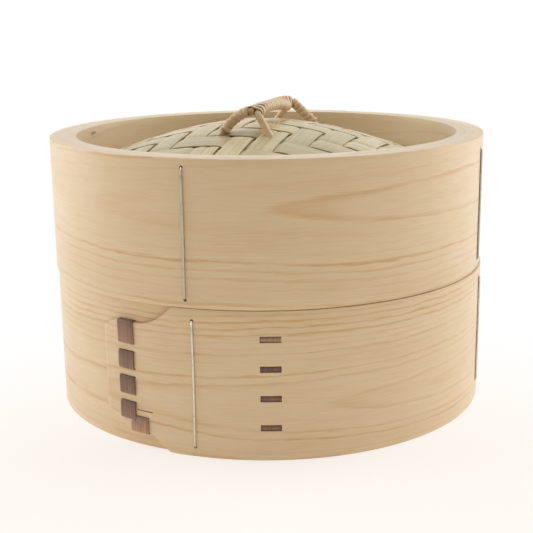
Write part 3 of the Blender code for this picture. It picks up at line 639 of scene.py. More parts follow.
def inner_wall(ring, part, low, high, scarf_angle, boxes, wires, height, axis):
    """A board inside a ring's wall, its ends tapered over each other, cut for bark and wires, bent round."""
    begin = HOOP_RADIUS * scarf_angle
    scarf = SCARF_LENGTH * HOOP_RADIUS / INNER_OUT
    taper = INNER_OUT - INNER_RADIUS - SCARF_TIP
    stop = begin + ONE_TURN + scarf * (taper - SCARF_TIP - SCARF_GAP) / taper

    def over(past):
        return INNER_OUT - SCARF_TIP - taper * min(1.0, past / scarf)

    def section(x):
        past = x - begin
        r_out = over(past - ONE_TURN) - SCARF_GAP if past > ONE_TURN else INNER_OUT
        return over(past), r_out, low, high

    rows = max(4, round((high - low) / INNER_ROW))
    wall = flat_board(f"{ring}_inner_wall_{part}", begin, stop, INNER_COLUMNS, rows, section)
    kept = []
    for (middle, deep, z), size in boxes:
        kept += [((x, deep, z), size) for x in on_board(middle, begin - CUT_MARGIN, stop + CUT_MARGIN)]
    bores = []
    for angle, from_top, from_foot in wires:
        heights = [z for z in (height - from_top, from_foot) if low < z < high]
        bores += [(x, z) for x in on_board(HOOP_RADIUS * math.radians(angle), begin, stop) for z in heights]
    finish_board(wall, INNER_OUT, (low, high), kept, bores)
    bend_round(wall, axis)
    settle(wall, inner_wood, ring, "inner_wood", f"{ring}_{part}_inner_hoop")


inner_pith = (0.045, 0.20, 0.030)
inner_rings = (0.0022, 0.0015, 11.2, 0.3, 40.0)
inner_wood = softwood("inner_wood", (0.70, 0.535, 0.333), (0.53, 0.318, 0.145), 0.45, inner_pith, inner_rings)
floor_low = LOWER_HEIGHT + FIT_GAP
floor_high = floor_low + SLAT_THICKNESS
tier_relief = lacing_relief(TIER_HEIGHT, TIER_TONGUE)
tier_seat = floor_high + FIT_GAP
tier_ring = (TIER_WIRES, TIER_HEIGHT, TIER_AXIS)
inner_wall("tier", "upper", tier_seat, TIER_HEIGHT, TIER_UPPER_SCARF, tier_relief, *tier_ring)

notch_reach = math.sqrt((INNER_RADIUS + NOTCH_INTO_WALL) ** 2 - CROSSBAR_OFFSET**2)
notch_angle = math.atan2(CROSSBAR_OFFSET, notch_reach)
notches = []
for angle in (notch_angle, -notch_angle, math.pi - notch_angle, math.pi + notch_angle):
    notch_place = (HOOP_RADIUS * angle, HOOP_RADIUS - INNER_RADIUS, LOWER_HEIGHT)
    notches.append((notch_place, (NOTCH_WIDTH, NOTCH_DEPTH, 2 * CROSSBAR_THICKNESS + 2 * FIT_GAP)))
inner_wall("tier", "lower", 0.0, LOWER_HEIGHT, TIER_LOWER_SCARF, tier_relief + notches, *tier_ring)


# Floor: thirteen split bamboo slats laid on two bamboo crossbars, their ends held between the inner walls.
# Each slat is flat below and slightly crowned above, with straight fibres and here and there a joint ring.
SLAT_WIDTH = 0.011
SLAT_PITCH = 0.0146
SLAT_SIDE = 6
FLOOR_BEARING = 0.0055
BAR_CUTS = 7
BAR_EASE = 0.0006
BAR_CROWN = 0.00025
SIDE_FIBRES = 0.7
FIBRES_ACROSS = 2600.0
FIBRES_ALONG = 35.0
JOINTS_ALONG = 3.4
floor_reach = INNER_RADIUS + FLOOR_BEARING

split_inputs = (("Fineness", 1.0), ("Start", 0.0))
split_fibre, ins, outs = number_group("split_fibre", split_inputs, ("Fibre", "Tint", "Joint"))
x, y, z = node(split_fibre, "ShaderNodeSeparateXYZ", {0: ins["Place"]}).outputs
split_sum = partial(sums, split_fibre)
start = split_sum("MULTIPLY_ADD", z, 17.0, ins["Start"])
fine = split_sum("MULTIPLY", ins["Fineness"], FIBRES_ACROSS)
across = split_sum("ADD", split_sum("MULTIPLY", y, fine), start)
along = split_sum("MULTIPLY", x, FIBRES_ALONG)
streak_place = node(split_fibre, "ShaderNodeCombineXYZ", {0: along, 1: across, 2: start}).outputs[0]
split_fibre.links.new(clouds(split_fibre, streak_place, 3.0, 0.6), outs["Fibre"])
tint = chance(split_fibre, start)
split_fibre.links.new(tint, outs["Tint"])
joint_at = split_sum("MULTIPLY_ADD", x, JOINTS_ALONG, split_sum("MULTIPLY", tint, 9.0))
joint = split_sum("ABSOLUTE", split_sum("SUBTRACT", split_sum("FRACT", joint_at), 0.5))
split_fibre.links.new(ramp(split_fibre, joint, 0.002, 0.010, 1.0, 0.0), outs["Joint"])


def split_wood(name, pale, deep, fineness, start, gloss, tint_range, joint_depth, bump_height):
    """Split bamboo, cane or bark: long fibres along the strip, a tint for each strip, joint rings."""
    material, tree, shader = new_material(name)
    fibres = node(tree, "ShaderNodeGroup", node_tree=split_fibre)
    tree.links.new(noted(tree, "strip"), fibres.inputs["Place"])
    fibres.inputs["Fineness"].default_value = fineness
    fibres.inputs["Start"].default_value = start
    fibre, tint, joint = fibres.outputs
    colour = blend(tree, ramp(tree, fibre, 0.30, 0.70), deep, pale)
    tone = ramp(tree, tint, 0.0, 1.0, 1.0 - tint_range, 1.0 + tint_range)
    tone = sums(tree, "MULTIPLY", tone, ramp(tree, joint, 0.0, 1.0, 1.0, 1.0 - joint_depth))
    tone_colour = node(tree, "ShaderNodeCombineColor", {0: tone, 1: tone, 2: tone}).outputs[0]
    colour = blend(tree, 1.0, colour, tone_colour, "MULTIPLY")
    rough = ramp(tree, fibre, 0.2, 0.8, gloss + 0.12, gloss - 0.05)
    dress(tree, shader, colour, rough, sums(tree, "MULTIPLY_ADD", joint, 1.5, fibre), 0.35, bump_height)
    shader.inputs["Specular IOR Level"].default_value = 0.4
    return material


def note_strip(piece, along, across, number):
    """Keeps each point's way along and across its strip, and the strip's number, for the fibres to follow."""
    note_places(piece, "strip", np.stack([along, across, np.full(len(along), float(number))], axis=1))


def bamboo_bar(name, length, width, thickness, place, turned, number):
    """A straight split bar, its edges eased and its upper face a little crowned."""
    bar = new_piece(name, bpy.ops.mesh.primitive_cube_add, size=1.0, scale=(length, width, thickness))
    bpy.ops.object.transform_apply(location=True, rotation=True, scale=True)
    edit_all(bpy.ops.mesh.subdivide, number_cuts=BAR_CUTS)
    ease_edges(bar, BAR_EASE, 3)
    places = corners_of(bar)
    crown = np.clip(1 - (2 * places[:, 1] / width) ** 2, 0, 1) * BAR_CROWN
    places[:, 2] += np.where(places[:, 2] > 0, crown - BAR_CROWN, 0.0)
    note_strip(bar, places[:, 0], places[:, 1] + places[:, 2] * SIDE_FIBRES, number)
    move_corners(bar, places)
    quarter = Matrix.Rotation(math.pi / 2 if turned else 0.0, 4, "Z")
    bar.data.transform(Matrix.Translation(place) @ quarter)
    select_only(bar)
    shade_smooth(40)
    return bar


bamboo = split_wood("bamboo", (0.72, 0.56, 0.31), (0.55, 0.38, 0.18), 0.7, 2.0, 0.42, 0.10, 0.35, 0.0003)
for side, x in (("left", -CROSSBAR_OFFSET), ("right", CROSSBAR_OFFSET)):
    length = 2 * math.sqrt(floor_reach**2 - (CROSSBAR_OFFSET + CROSSBAR_WIDTH / 2) ** 2)
    place = (x, 0.0, LOWER_HEIGHT - CROSSBAR_THICKNESS / 2)
    bar = bamboo_bar(f"floor_bar_{side}", length, CROSSBAR_WIDTH, CROSSBAR_THICKNESS, place, True, 20.3 + x)
    settle(bar, bamboo, "tier", "bamboo", f"tier_crossbar_{side}")
for count in range(2 * SLAT_SIDE + 1):
    y = (count - SLAT_SIDE) * SLAT_PITCH
    length = 2 * math.sqrt(floor_reach**2 - (abs(y) + SLAT_WIDTH / 2) ** 2)
    place = (0.0, y, floor_low + SLAT_THICKNESS / 2)
    name = f"floor_slat_{count + 1:02d}"
    slat = bamboo_bar(name, length, SLAT_WIDTH, SLAT_THICKNESS, place, False, count + 0.37)
    settle(slat, bamboo, "tier", "bamboo", f"tier_slat_{count + 1:02d}")


# Tier lacing: flat strips of dark bark sewn through slits in the lap, with four long stitches at the left,
# a short end stepped to the right below them, and four short stitches sunk in windows further right.
WINDOW_RECESS = 0.0002
WINDOW_SLOPE = 0.0007
STITCH_TONES = (0.95, 0.75, 0.70, 0.82)
TAIL_TONE = 1.33
WINDOW_TONES = (1.28, 0.56, 0.68, 0.78)
BARK_ROOM = 0.00045
BARK_COLUMNS = 10
BARK_ROWS = 260
BARK_BEND = 0.0007
BARK_EASE = 0.00012
BARK_CROWN = 0.00018
BARK_WAVE = 0.00012
BARK_WAVES = 420
TAIL_NOTCH_RUN = 0.0004
BARK_IN = HOOP_IN - FIT_GAP - BARK_ROOM - BARK_THICKNESS / 2
BARK_OUT = HOOP_RADIUS + FIT_GAP + BARK_THICKNESS / 2
BARK_SUNK = HOOP_RADIUS - WINDOW_RECESS - BARK_THICKNESS / 2


def show_tone_and_painted_shade(material):
    """Lets the tone and painted shade that a piece keeps on its points darken or lighten its material."""
    tree = material.node_tree
    base = tree.nodes["Principled BSDF"].inputs["Base Color"]
    plain = base.links[0].from_socket
    tone_and_painted_shade = node(tree, "ShaderNodeAttribute", attribute_name="tone_and_painted_shade").outputs["Color"]
    tree.links.new(blend(tree, 1.0, plain, tone_and_painted_shade, "MULTIPLY"), base)


def note_tone_and_painted_shade(piece, tone):
    """Keeps a tone on each point of a piece; on the bark and the windings it holds painted shade."""
    tone_and_painted_shade = piece.data.attributes.new("tone_and_painted_shade", "FLOAT", "POINT")
    tone_and_painted_shade.data.foreach_set("value", tone)


def eased_path(corners, ease, steps):
    """A path through corners, each rounded off."""
    corners = [np.array(c, dtype=float) for c in corners]
    path = [corners[0]]
    for before, corner, after in zip(corners, corners[1:], corners[2:]):
        back, on = before - corner, after - corner
        reach = min(ease, np.linalg.norm(back) / 2.01, np.linalg.norm(on) / 2.01)
        start = corner + back / np.linalg.norm(back) * reach
        stop = corner + on / np.linalg.norm(on) * reach
        for i in range(steps + 1):
            t = i / steps
            path.append((1 - t) ** 2 * start + 2 * t * (1 - t) * corner + t**2 * stop)
    path.append(corners[-1])
    return np.array(path)


def run_lengths(path):
    """The way gone along a path at each of its points."""
    return np.concatenate([[0.0], np.cumsum(np.linalg.norm(np.diff(path, axis=0), axis=1))])


def between(at, marks, rows):
    """Rows of values, one row to a mark, read at places between the marks."""
    return np.stack([np.interp(at, marks, column) for column in rows.T], axis=-1)


def along_path(path, shares):
    """Points at shares of a path's length, and that length."""
    runs = run_lengths(path)
    return between(np.asarray(shares) * runs[-1], runs, path), runs[-1]


def thicken(piece, thickness):
    """Gives a sheet its thickness, half to each side."""
    solid = piece.modifiers.new("thick", "SOLIDIFY")
    solid.thickness = thickness
    solid.offset = 0.0
    apply_modifier(piece, solid)


def bark_strip(name, axis, left, right, corners, number, stitches, notch=None):
    """A strip of bark along (radius, height) corners, a little crowned across, bent with the wall.
    Each stitch (low, high, tone) has its own tone, with painted shade towards its upper end, where it comes
    out of the wall.
    A notch (height, inset) takes the left edge back above a height, clear of the strip beside it."""
    strip = new_grid(name, BARK_COLUMNS, BARK_ROWS)
    places = corners_of(strip)
    across, share = places[:, 0].copy(), places[:, 1] + 0.5
    points, length = along_path(eased_path(corners, BARK_BEND, 4), share)
    width = np.full(len(share), right - left)
    if notch:
        width -= notch[1] * np.clip((points[:, 1] - notch[0]) / TAIL_NOTCH_RUN, 0, 1)
    wave = BARK_WAVE * np.sin(share * length * BARK_WAVES + number) * 4 * across**2
    places[:, 0] = right + (across - 0.5) * width + wave
    proud = np.clip((points[:, 0] - HOOP_RADIUS) / FIT_GAP, 0, 1)
    crown = (1 - (2 * across) ** 2) * BARK_CROWN * proud
    places[:, 1] = HOOP_RADIUS - points[:, 0] - crown
    places[:, 2] = points[:, 1]
    move_corners(strip, places)
    note_strip(strip, share * length, across * (right - left), number)
    lows, highs, tones = (np.array(values) for values in zip(*stitches))
    up = (points[:, 1:2] - (lows + highs) / 2) / (highs - lows)
    nearest = np.argmin(np.abs(up), axis=1)
    up = np.clip(up[np.arange(len(up)), nearest], -0.5, 0.5)
    # Painted shade: each stitch darkens towards its upper end, where it comes out of its slit, over its own
    # tone.
    note_tone_and_painted_shade(strip, tones[nearest] * (1 - 0.50 * up - 0.5 * np.clip(up - 0.3, 0, 1)))
    thicken(strip, BARK_THICKNESS)
    ease_edges(strip, BARK_EASE, 2)
    bend_round(strip, axis)
    return strip


def lace(ring, height, tongue_angle, axis):
    """The three strips of a lap's lacing."""
    tip = HOOP_RADIUS * tongue_angle
    half = BARK_THICKNESS / 2 + SLIT_ROOM
    leaves, enters = stitch_heights(height)

    def sew(side, *shape):
        strip = bark_strip(f"{ring}_bark_{side}", axis, *shape)
        settle(strip, bark, ring, "bark", f"{ring}_lacing_{side}")

    stitch_left = tip + STITCH_COLUMN - BARK_WIDTH / 2
    corners = [(BARK_IN, leaves[0] + BARK_TUCK)]
    for z_out, z_in in zip(leaves, enters):
        corners += [(BARK_IN, z_out), (BARK_OUT, z_out), (BARK_OUT, z_in), (BARK_IN, z_in)]
    corners.append((BARK_IN, enters[-1] + BARK_TUCK))
    stitches = list(zip(enters, leaves, STITCH_TONES))
    sew("left", stitch_left, stitch_left + BARK_WIDTH, corners, 1.3, stitches)

    high, low = TONGUE_FOOT_RISE + TAIL_RUN, TONGUE_FOOT_RISE - half
    corners = [(BARK_IN, high - BARK_TUCK), (BARK_IN, high), (BARK_OUT, high)]
    corners += [(BARK_OUT, low), (BARK_IN, low), (BARK_IN, low + BARK_TUCK)]
    inset = STITCH_COLUMN + BARK_WIDTH / 2 + 2 * SLIT_ROOM - TAIL_LEFT
    notch = (enters[-1] - BARK_THICKNESS - TAIL_NOTCH_RUN, inset)
    sew("tail", tip + TAIL_LEFT, tip + TAIL_RIGHT, corners, 2.6, [(low, high, TAIL_TONE)], notch)

    reach = WINDOW_HEIGHT / 2 - half
    windows = window_heights(height)
    corners = [(BARK_IN, windows[0] + reach + BARK_TUCK)]
    for count, z in enumerate(windows):
        deep = BARK_SUNK - (WINDOW_SLOPE if count else 0.0)
        corners += [(BARK_IN, z + reach), (deep, z + reach), (BARK_SUNK, z - reach), (BARK_IN, z - reach)]
    corners.append((BARK_IN, windows[-1] - reach - BARK_TUCK))
    window_left = tip + WINDOW_COLUMN - BARK_WIDTH / 2
    stitches = [(z - reach, z + reach, tone) for z, tone in zip(windows, WINDOW_TONES)]
    sew("right", window_left, window_left + BARK_WIDTH, corners, 3.9, stitches)


bark = split_wood("bark", (0.375, 0.205, 0.125), (0.225, 0.118, 0.076), 0.8, 5.0, 0.40, 0.0, 0.0, 0.0002)
show_tone_and_painted_shade(bark)
lace("tier", TIER_HEIGHT, TIER_TONGUE, TIER_AXIS)


# Tier staples: bright drawn wire that holds the two layers of the wall together.
# Each has a long run outside, two legs through the wall, and ends bent flat against the inside.
WIRE_DIAMETER = 0.0010
WIRE_BEND = 0.0007
WIRE_CLINCH = 0.0040
WIRE_BOW = 0.00025
WIRE_BOW_SHARE = 0.4
WIRE_SIDES = 14
WIRE_OUT = HOOP_RADIUS + WIRE_DIAMETER / 2
WIRE_IN = INNER_RADIUS - FIT_GAP - WIRE_DIAMETER / 2
ROD_CUTS = 99
ROD_STEP = 0.004
ROD_ASIDE = np.array([0.31, 0.12, 0.943])
ROD_ASIDE_SPARE = np.array([0.95, 0.3, 0.1])


def drawn_wire(name, bright, dull):
    """Drawn wire with fine marks along it and dull patches."""
    material, tree, shader = new_material(name)
    shader.inputs["Metallic"].default_value = 1.0
    axes = node(tree, "ShaderNodeSeparateXYZ", {0: noted(tree, "strip")}).outputs
    marks = clouds(tree, stretched(tree, axes, (90.0, 4000.0, 1.0)), 3.0)
    patches = clouds(tree, stretched(tree, axes, (260.0, 300.0, 5.0)), 2.0)
    colour = blend(tree, ramp(tree, patches, 0.50, 0.75), bright, dull)
    dress(tree, shader, colour, ramp(tree, marks, 0.3, 0.7, 0.22, 0.38), marks, 0.2, 0.0001)
    return material


def unit(rows):
    """Rows of directions, each made one long."""
    return rows / np.linalg.norm(rows, axis=1)[:, None]


def lay_rod(name, path, sides, number, radius, swell=0.0, waves=0.0):
    """A round rod along a path: a cylinder, cut into short lengths and carried along it, its ends closed.
    Its radius may swell and shrink a little in waves."""
    rod = new_piece(
        name, bpy.ops.mesh.primitive_cylinder_add, vertices=sides, radius=1.0, depth=1.0, end_fill_type="NGON"
    )
    upright = []
    for edge in rod.data.edges:
        low, high = sorted(rod.data.vertices[i].co.z for i in edge.vertices)
        if high - low > 0.5:
            upright.append(edge.index)
    bpy.ops.object.mode_set(mode="EDIT")
    bpy.ops.mesh.select_mode(type="EDGE")
    bpy.ops.mesh.select_all(action="DESELECT")
    bpy.ops.object.mode_set(mode="OBJECT")
    for index in upright:
        rod.data.edges[index].select = True
    bpy.ops.object.mode_set(mode="EDIT")
    bpy.ops.mesh.subdivide(number_cuts=ROD_CUTS)
    bpy.ops.object.mode_set(mode="OBJECT")
    places = corners_of(rod)
    angle = np.arctan2(places[:, 1], places[:, 0])
    share = np.clip(places[:, 2] + 0.5, 0, 1)
    middles, length = along_path(path, share)
    ahead, _ = along_path(path, np.clip(share + ROD_STEP, 0, 1))
    behind, _ = along_path(path, np.clip(share - ROD_STEP, 0, 1))
    along = unit(ahead - behind)
    side = np.cross(along, ROD_ASIDE)
    weak = np.linalg.norm(side, axis=1) < 0.3
    side[weak] = np.cross(along[weak], ROD_ASIDE_SPARE)
    side = unit(side)
    up = np.cross(side, along)
    round_off = radius * (1 + swell * np.sin(share * waves))
    spoke = side * np.cos(angle)[:, None] + up * np.sin(angle)[:, None]
    move_corners(rod, middles + spoke * round_off[:, None])
    note_strip(rod, share * length, angle * round_off, number)
    face_outwards()
    shade_smooth(50)
    return rod


def staples(ring, metal, wires, height, axis):
    """The wire staples of one ring."""
    outside, inside = HOOP_RADIUS - WIRE_OUT, HOOP_RADIUS - WIRE_IN
    for count, (degrees, from_top, from_foot) in enumerate(wires, start=1):
        x = HOOP_RADIUS * math.radians(degrees)
        high, low = height - from_top, from_foot
        corners = [(x + WIRE_CLINCH, inside, high), (x, inside, high), (x, outside, high)]
        corners += [(x + WIRE_BOW, outside, high - (high - low) * WIRE_BOW_SHARE), (x, outside, low)]
        corners += [(x, inside, low), (x + WIRE_CLINCH, inside, low)]
        path = eased_path(corners, WIRE_BEND, 5)
        wire = lay_rod(f"{ring}_staple_{count}", path, WIRE_SIDES, count, WIRE_DIAMETER / 2)
        bend_round(wire, axis)
        settle(wire, metal, ring, "wire", f"{ring}_wire_{count}")


bright_wire = drawn_wire("bright_wire", (0.61, 0.555, 0.445), (0.40, 0.36, 0.275))
staples("tier", bright_wire, *tier_ring)


# Lid wall: a second softwood board bent and lapped like the tier's, with its lap on the far side.
# It stands loose on the tier, a hair off the tier's axis.
LID_HEIGHT = 0.0625
LID_AXIS = (-0.0008, -0.0001, TIER_HEIGHT + FIT_GAP)
LID_TONGUE = math.radians(132.4)
LID_WIRES = ((-19.2, 0.0039, 0.0037), (70.6, 0.0059, 0.0043), (166.0, 0.0062, 0.004), (254.4, 0.003, 0.004))
lid_pith = (0.012, 0.45, 0.042)
lid_rings = (0.0034, 0.0018, 21.4, 0.32, 1689.5)
lid_wood = softwood("lid_wood", EARLY_WOOD, LATE_WOOD, 0.85, lid_pith, lid_rings)
outer_wall("lid", lid_wood, LID_HEIGHT, LID_TONGUE, LID_WIRES, LID_AXIS)


# Lid inner walls: thicker boards inside the lid's wall, above and below the edge of the woven top.
# The lid has its own lacing, sewn as on the tier, and its own staples, of duller wire.
WEAVE_DEPTH = 0.016
WEAVE_THICKNESS = 0.0016
LINING_THICKNESS = 0.0012
WEAVE_SEAT = LID_HEIGHT - WEAVE_DEPTH
LID_UPPER_SCARF = math.radians(20)
LID_LOWER_SCARF = math.radians(280)
lid_relief = lacing_relief(LID_HEIGHT, LID_TONGUE)
lid_ring = (LID_WIRES, LID_HEIGHT, LID_AXIS)
lid_seat = WEAVE_SEAT - WEAVE_THICKNESS - LINING_THICKNESS - 2 * FIT_GAP
inner_wall("lid", "upper", WEAVE_SEAT + FIT_GAP, LID_HEIGHT, LID_UPPER_SCARF, lid_relief, *lid_ring)
inner_wall("lid", "lower", 0.0, lid_seat, LID_LOWER_SCARF, lid_relief, *lid_ring)

lace("lid", LID_HEIGHT, LID_TONGUE, LID_AXIS)
dull_wire = drawn_wire("dull_wire", (0.45, 0.425, 0.34), (0.29, 0.275, 0.21))
staples("lid", dull_wire, *lid_ring)


# Woven top: wide flat bamboo strips in a two over, two under twill, pressed into a low dome.
# A second, finer weave lines it below. Both have their edges gripped between the lid's inner walls.
WEAVE_CROWN = 0.0051
WEAVE_POWER = 1.75
WEAVE_BORDER = 0.0064
WEAVE_OFF_CENTRE = -0.0030
WEAVE_BEARING = 0.0055
WEAVE_EDGE = 0.0004
WEAVE_GRIPPED = 0.006
WEAVE_TURN = math.radians(-20)
UPRIGHT_PITCH = 0.01255
UPRIGHT_START = -0.0044 - 2.5 * UPRIGHT_PITCH
LEVEL_PITCH = 0.01314
LEVEL_START = -0.00417 + 0.5 * LEVEL_PITCH
SPLIT_LANES = (2, 4)
SPLIT_HALF_GAP = 0.012
LANE_GAP = 0.0011
LANE_STRAY = 0.0002
LEAST_STRIP = 0.0012
STRIP_COLUMNS = 8
STRIP_ROWS = 120
STRIP_CROWN = 0.00032
STRIP_THICKNESS = 0.00055
STRIP_SWAY = 0.00060
LINING_PITCH = 0.0104
LINING_TURN = math.radians(25)
LINING_STRIP_THICKNESS = 0.0004
LINING_SWAY = 0.00026


def weave_height(x, y):
    """Upper face of the woven top above the lid's foot. The dome sits a little off the ring's axis."""
    share = np.minimum(1.0, np.hypot(x - WEAVE_OFF_CENTRE, y) / (INNER_RADIUS - WEAVE_BORDER))
    return WEAVE_SEAT + (WEAVE_DEPTH + WEAVE_CROWN) * (1 - share**WEAVE_POWER)


def over_under(lane, crossing, upright):
    """How far up a strip lies where it crosses the other strips, from -1 to 1, eased between them."""
    def level(number):
        raised = np.isin((number + lane) % 4, (2, 3))
        return np.where(raised == upright, 1.0, -1.0)

    number = np.floor(crossing)
    into = crossing - number
    ease = np.where(into < 0.5, np.clip((into + 0.20) / 0.40, 0, 1), np.clip((into - 0.80) / 0.40, 0, 1))
    smooth = ease * ease * (3 - 2 * ease)
    low = np.where(into < 0.5, number - 1, number)
    return level(low) * (1 - smooth) + level(low + 1) * smooth


def woven_sheet(name, pitches, starts, turn, drop, thickness, sway, split_lanes, seed):
    """All strips of a weave in one mesh. Each is a fine grid laid over the dome, cut to the round edge."""
    rng = np.random.default_rng(seed)
    reach = INNER_RADIUS + WEAVE_BEARING - WEAVE_EDGE
    strips = []
    axis_u = np.array([math.cos(turn), math.sin(turn)])
    axis_v = np.array([math.sin(turn), -math.cos(turn)])
    for upright in (True, False):
        order = (0, 1) if upright else (1, 0)
        pitch, other_pitch = (pitches[i] for i in order)
        start, other_start = (starts[i] for i in order)
        lanes = range(math.floor((-reach - start) / pitch), math.ceil((reach - start) / pitch) + 1)
        for lane in lanes:
            middle = start + lane * pitch
            width = pitch - LANE_GAP - LANE_GAP * rng.random()
            middle += LANE_STRAY * (rng.random() - 0.5)
            halves = ((-0.5, 0.5),)
            if upright and lane in split_lanes:
                halves = ((-0.5, -SPLIT_HALF_GAP), (SPLIT_HALF_GAP, 0.5))
            for left, right in halves:
                low = max(middle + left * width, -reach + WEAVE_EDGE)
                high = min(middle + right * width, reach - WEAVE_EDGE)
                if high - low < LEAST_STRIP:
                    continue
                strip = new_grid(name, STRIP_COLUMNS, STRIP_ROWS)
                places = corners_of(strip)
                across = (places[:, 0] + 0.5) * (high - low) + low
                along = places[:, 1] * 2 * np.sqrt(reach**2 - across**2)
                crossing = (along - other_start) / other_pitch + 0.5
                rim = np.hypot(across, along) - INNER_RADIUS
                gripped = np.clip((rim + WEAVE_GRIPPED) / WEAVE_GRIPPED, 0, 1)
                lift = over_under(lane, crossing, upright) * sway * (1 - 0.5 * gripped)
                crown = (1 - (2 * (across - (low + high) / 2) / (high - low)) ** 2) * STRIP_CROWN
                u, v = (across, along) if upright else (along, across)
                x, y = (u[:, None] * axis_u + v[:, None] * axis_v).T
                height = weave_height(x, y) - drop + lift + crown
                move_corners(strip, np.stack([x, y, height], axis=1))
                note_strip(strip, along, across - middle, rng.integers(1, 400) / 7)
                strips.append(strip)
    bpy.ops.object.select_all(action="DESELECT")
    for strip in strips:
        strip.select_set(True)
    bpy.context.view_layer.objects.active = strips[0]
    bpy.ops.object.join()
    sheet = bpy.context.object
    face_outwards()
    thicken(sheet, thickness)
    sheet.data.transform(Matrix.Translation(LID_AXIS))
    shade_smooth(40)
    return sheet


woven_strip = split_wood(
    "woven_strip", (0.68, 0.58, 0.355), (0.525, 0.43, 0.24), 0.5, 8.0, 0.29, 0.11, 0.12, 0.0002
)
weave = woven_sheet(
    "lid_weave", (UPRIGHT_PITCH, LEVEL_PITCH), (UPRIGHT_START, LEVEL_START), WEAVE_TURN,
    WEAVE_THICKNESS / 2, STRIP_THICKNESS, STRIP_SWAY, SPLIT_LANES, 4,
)
settle(weave, woven_strip, "lid", "woven_bamboo", "lid_woven_top")
lining_strip = split_wood(
    "lining_strip", (0.66, 0.60, 0.40), (0.54, 0.46, 0.28), 0.6, 14.0, 0.45, 0.10, 0.15, 0.0002
)
lining = woven_sheet(
    "lid_weave_lining", (LINING_PITCH, LINING_PITCH), (0.0, LINING_PITCH / 2), LINING_TURN,
    WEAVE_THICKNESS + FIT_GAP + LINING_THICKNESS / 2, LINING_STRIP_THICKNESS, LINING_SWAY, (), 9,
)
settle(lining, lining_strip, "lid", "woven_bamboo", "lid_woven_lining")


# Handle: two round canes bent to arches, side by side along the grip and splayed to four feet.
# The feet go through the woven top and are bent over below the lining.
GRIP_MIDDLE = np.array((0.0034, 0.0))
GRIP_NEAR_END = np.array((-0.0053, -0.0313))
GRIP_FAR_END = 2 * GRIP_MIDDLE - GRIP_NEAR_END
GRIP_HEIGHT = 0.0125
GRIP_FAR_DROP = 0.0022
GRIP_ARCH = 0.0010
GRIP_SHARES = (0.0, 0.05, 0.12, 0.3, 0.5, 0.65, 0.75, 0.83, 0.9, 0.95, 1.0)
WRAPPED_LEG_BULGE = 0.0020
LEG_RISE = (0.33, 0.67)
WRAPPED_FOOT = np.array((-0.0211, -0.0277))
WRAPPED_FAR_FOOT = np.array((0.0258, 0.0277))
PLAIN_FOOT = np.array((0.00185, -0.0349))
WRAPPED_CANE = 0.0026
PLAIN_CANE = 0.0034
CANE_SIDES = 20
PAIR_PLAY = 0.0002
PAIR_NEAR = math.radians(180)
PAIR_FAR = math.radians(50)
PAIR_TWIST = 4
PLAIN_SINK = 0.0016
SINK_SHARE = 0.15
FOOT_DROP = 0.0055
FOOT_TAIL = 0.0070
TAIL_SLOPE = 0.30
POINTS_PER_SPAN = 8
WEAVE_STACK = WEAVE_THICKNESS + FIT_GAP + LINING_THICKNESS
UP = np.array((0.0, 0.0, 1.0))
grip_along = np.append(GRIP_FAR_END - GRIP_NEAR_END, 0.0)
grip_along /= np.linalg.norm(grip_along)
grip_aside = np.array((grip_along[1], -grip_along[0], 0.0))


def pair_in_grip(share):
    """Middles of both canes at a share of the grip, in the lid's frame. The plain one starts lower."""
    z = LID_HEIGHT + GRIP_HEIGHT - GRIP_FAR_DROP * share + 4 * GRIP_ARCH * share * (1 - share)
    middle = np.append(GRIP_NEAR_END + (GRIP_FAR_END - GRIP_NEAR_END) * share, z)
    angle = PAIR_NEAR + (PAIR_FAR - PAIR_NEAR) * share**PAIR_TWIST
    toward = grip_aside * math.cos(angle) + UP * math.sin(angle)
    toward = toward * (WRAPPED_CANE + PLAIN_CANE + PAIR_PLAY) / 4
    sink = PLAIN_SINK * max(0.0, 1 - share / SINK_SHARE)
    return middle + toward, middle - toward - UP * sink


def leg_points(foot, grip_end, cane, bulge):
    """One leg from its tail under the lining up to the grip, bowed upwards on its rise."""
    surface = np.append(foot, weave_height(*foot))
    up = (grip_end - surface) / np.linalg.norm(grip_end - surface)
    throat = surface - up * ((WEAVE_STACK + FIT_GAP + cane) / up[2])
    knee = surface - up * ((FOOT_DROP + cane) / up[2])
    outwards = np.array((-up[0], -up[1], 0.0)) / math.hypot(up[0], up[1])
    tail = knee + (outwards - UP * TAIL_SLOPE) * FOOT_TAIL
    rise = [surface + (grip_end - surface) * s + UP * (4 * bulge * s * (1 - s)) for s in LEG_RISE]
    return [tail, knee, throat, surface] + rise


def smooth_route(points, per_span):
    """A smooth curve through points."""
    ghosts = [2 * points[0] - points[1]] + points + [2 * points[-1] - points[-2]]
    route = []
    for i in range(1, len(points)):
        a, b, c, d = ghosts[i - 1 : i + 3]
        for j in range(per_span):
            t = j / per_span
            bend = (2 * a - 5 * b + 4 * c - d) * t**2 + (3 * b - a - 3 * c + d) * t**3
            route.append((2 * b + (c - a) * t + bend) / 2)
    return np.array(route + [points[-1]])


def arch_route(which, near_foot, far_foot, near_bulge, cane):
    """The middle line of one cane, and where its legs meet the weave and the grip, as point numbers."""
    grip = [pair_in_grip(s)[which] for s in GRIP_SHARES]
    near = leg_points(near_foot, grip[0], cane, near_bulge)
    far = leg_points(far_foot, grip[-1], cane, 0.0)
    route = smooth_route(near + grip + far[::-1], POINTS_PER_SPAN)
    last_in_grip = len(near) + len(grip) - 1
    foot_to_grip = len(LEG_RISE) + 1
    marks = (len(near) - foot_to_grip, len(near), last_in_grip, last_in_grip + foot_to_grip)
    return route, [mark * POINTS_PER_SPAN for mark in marks]


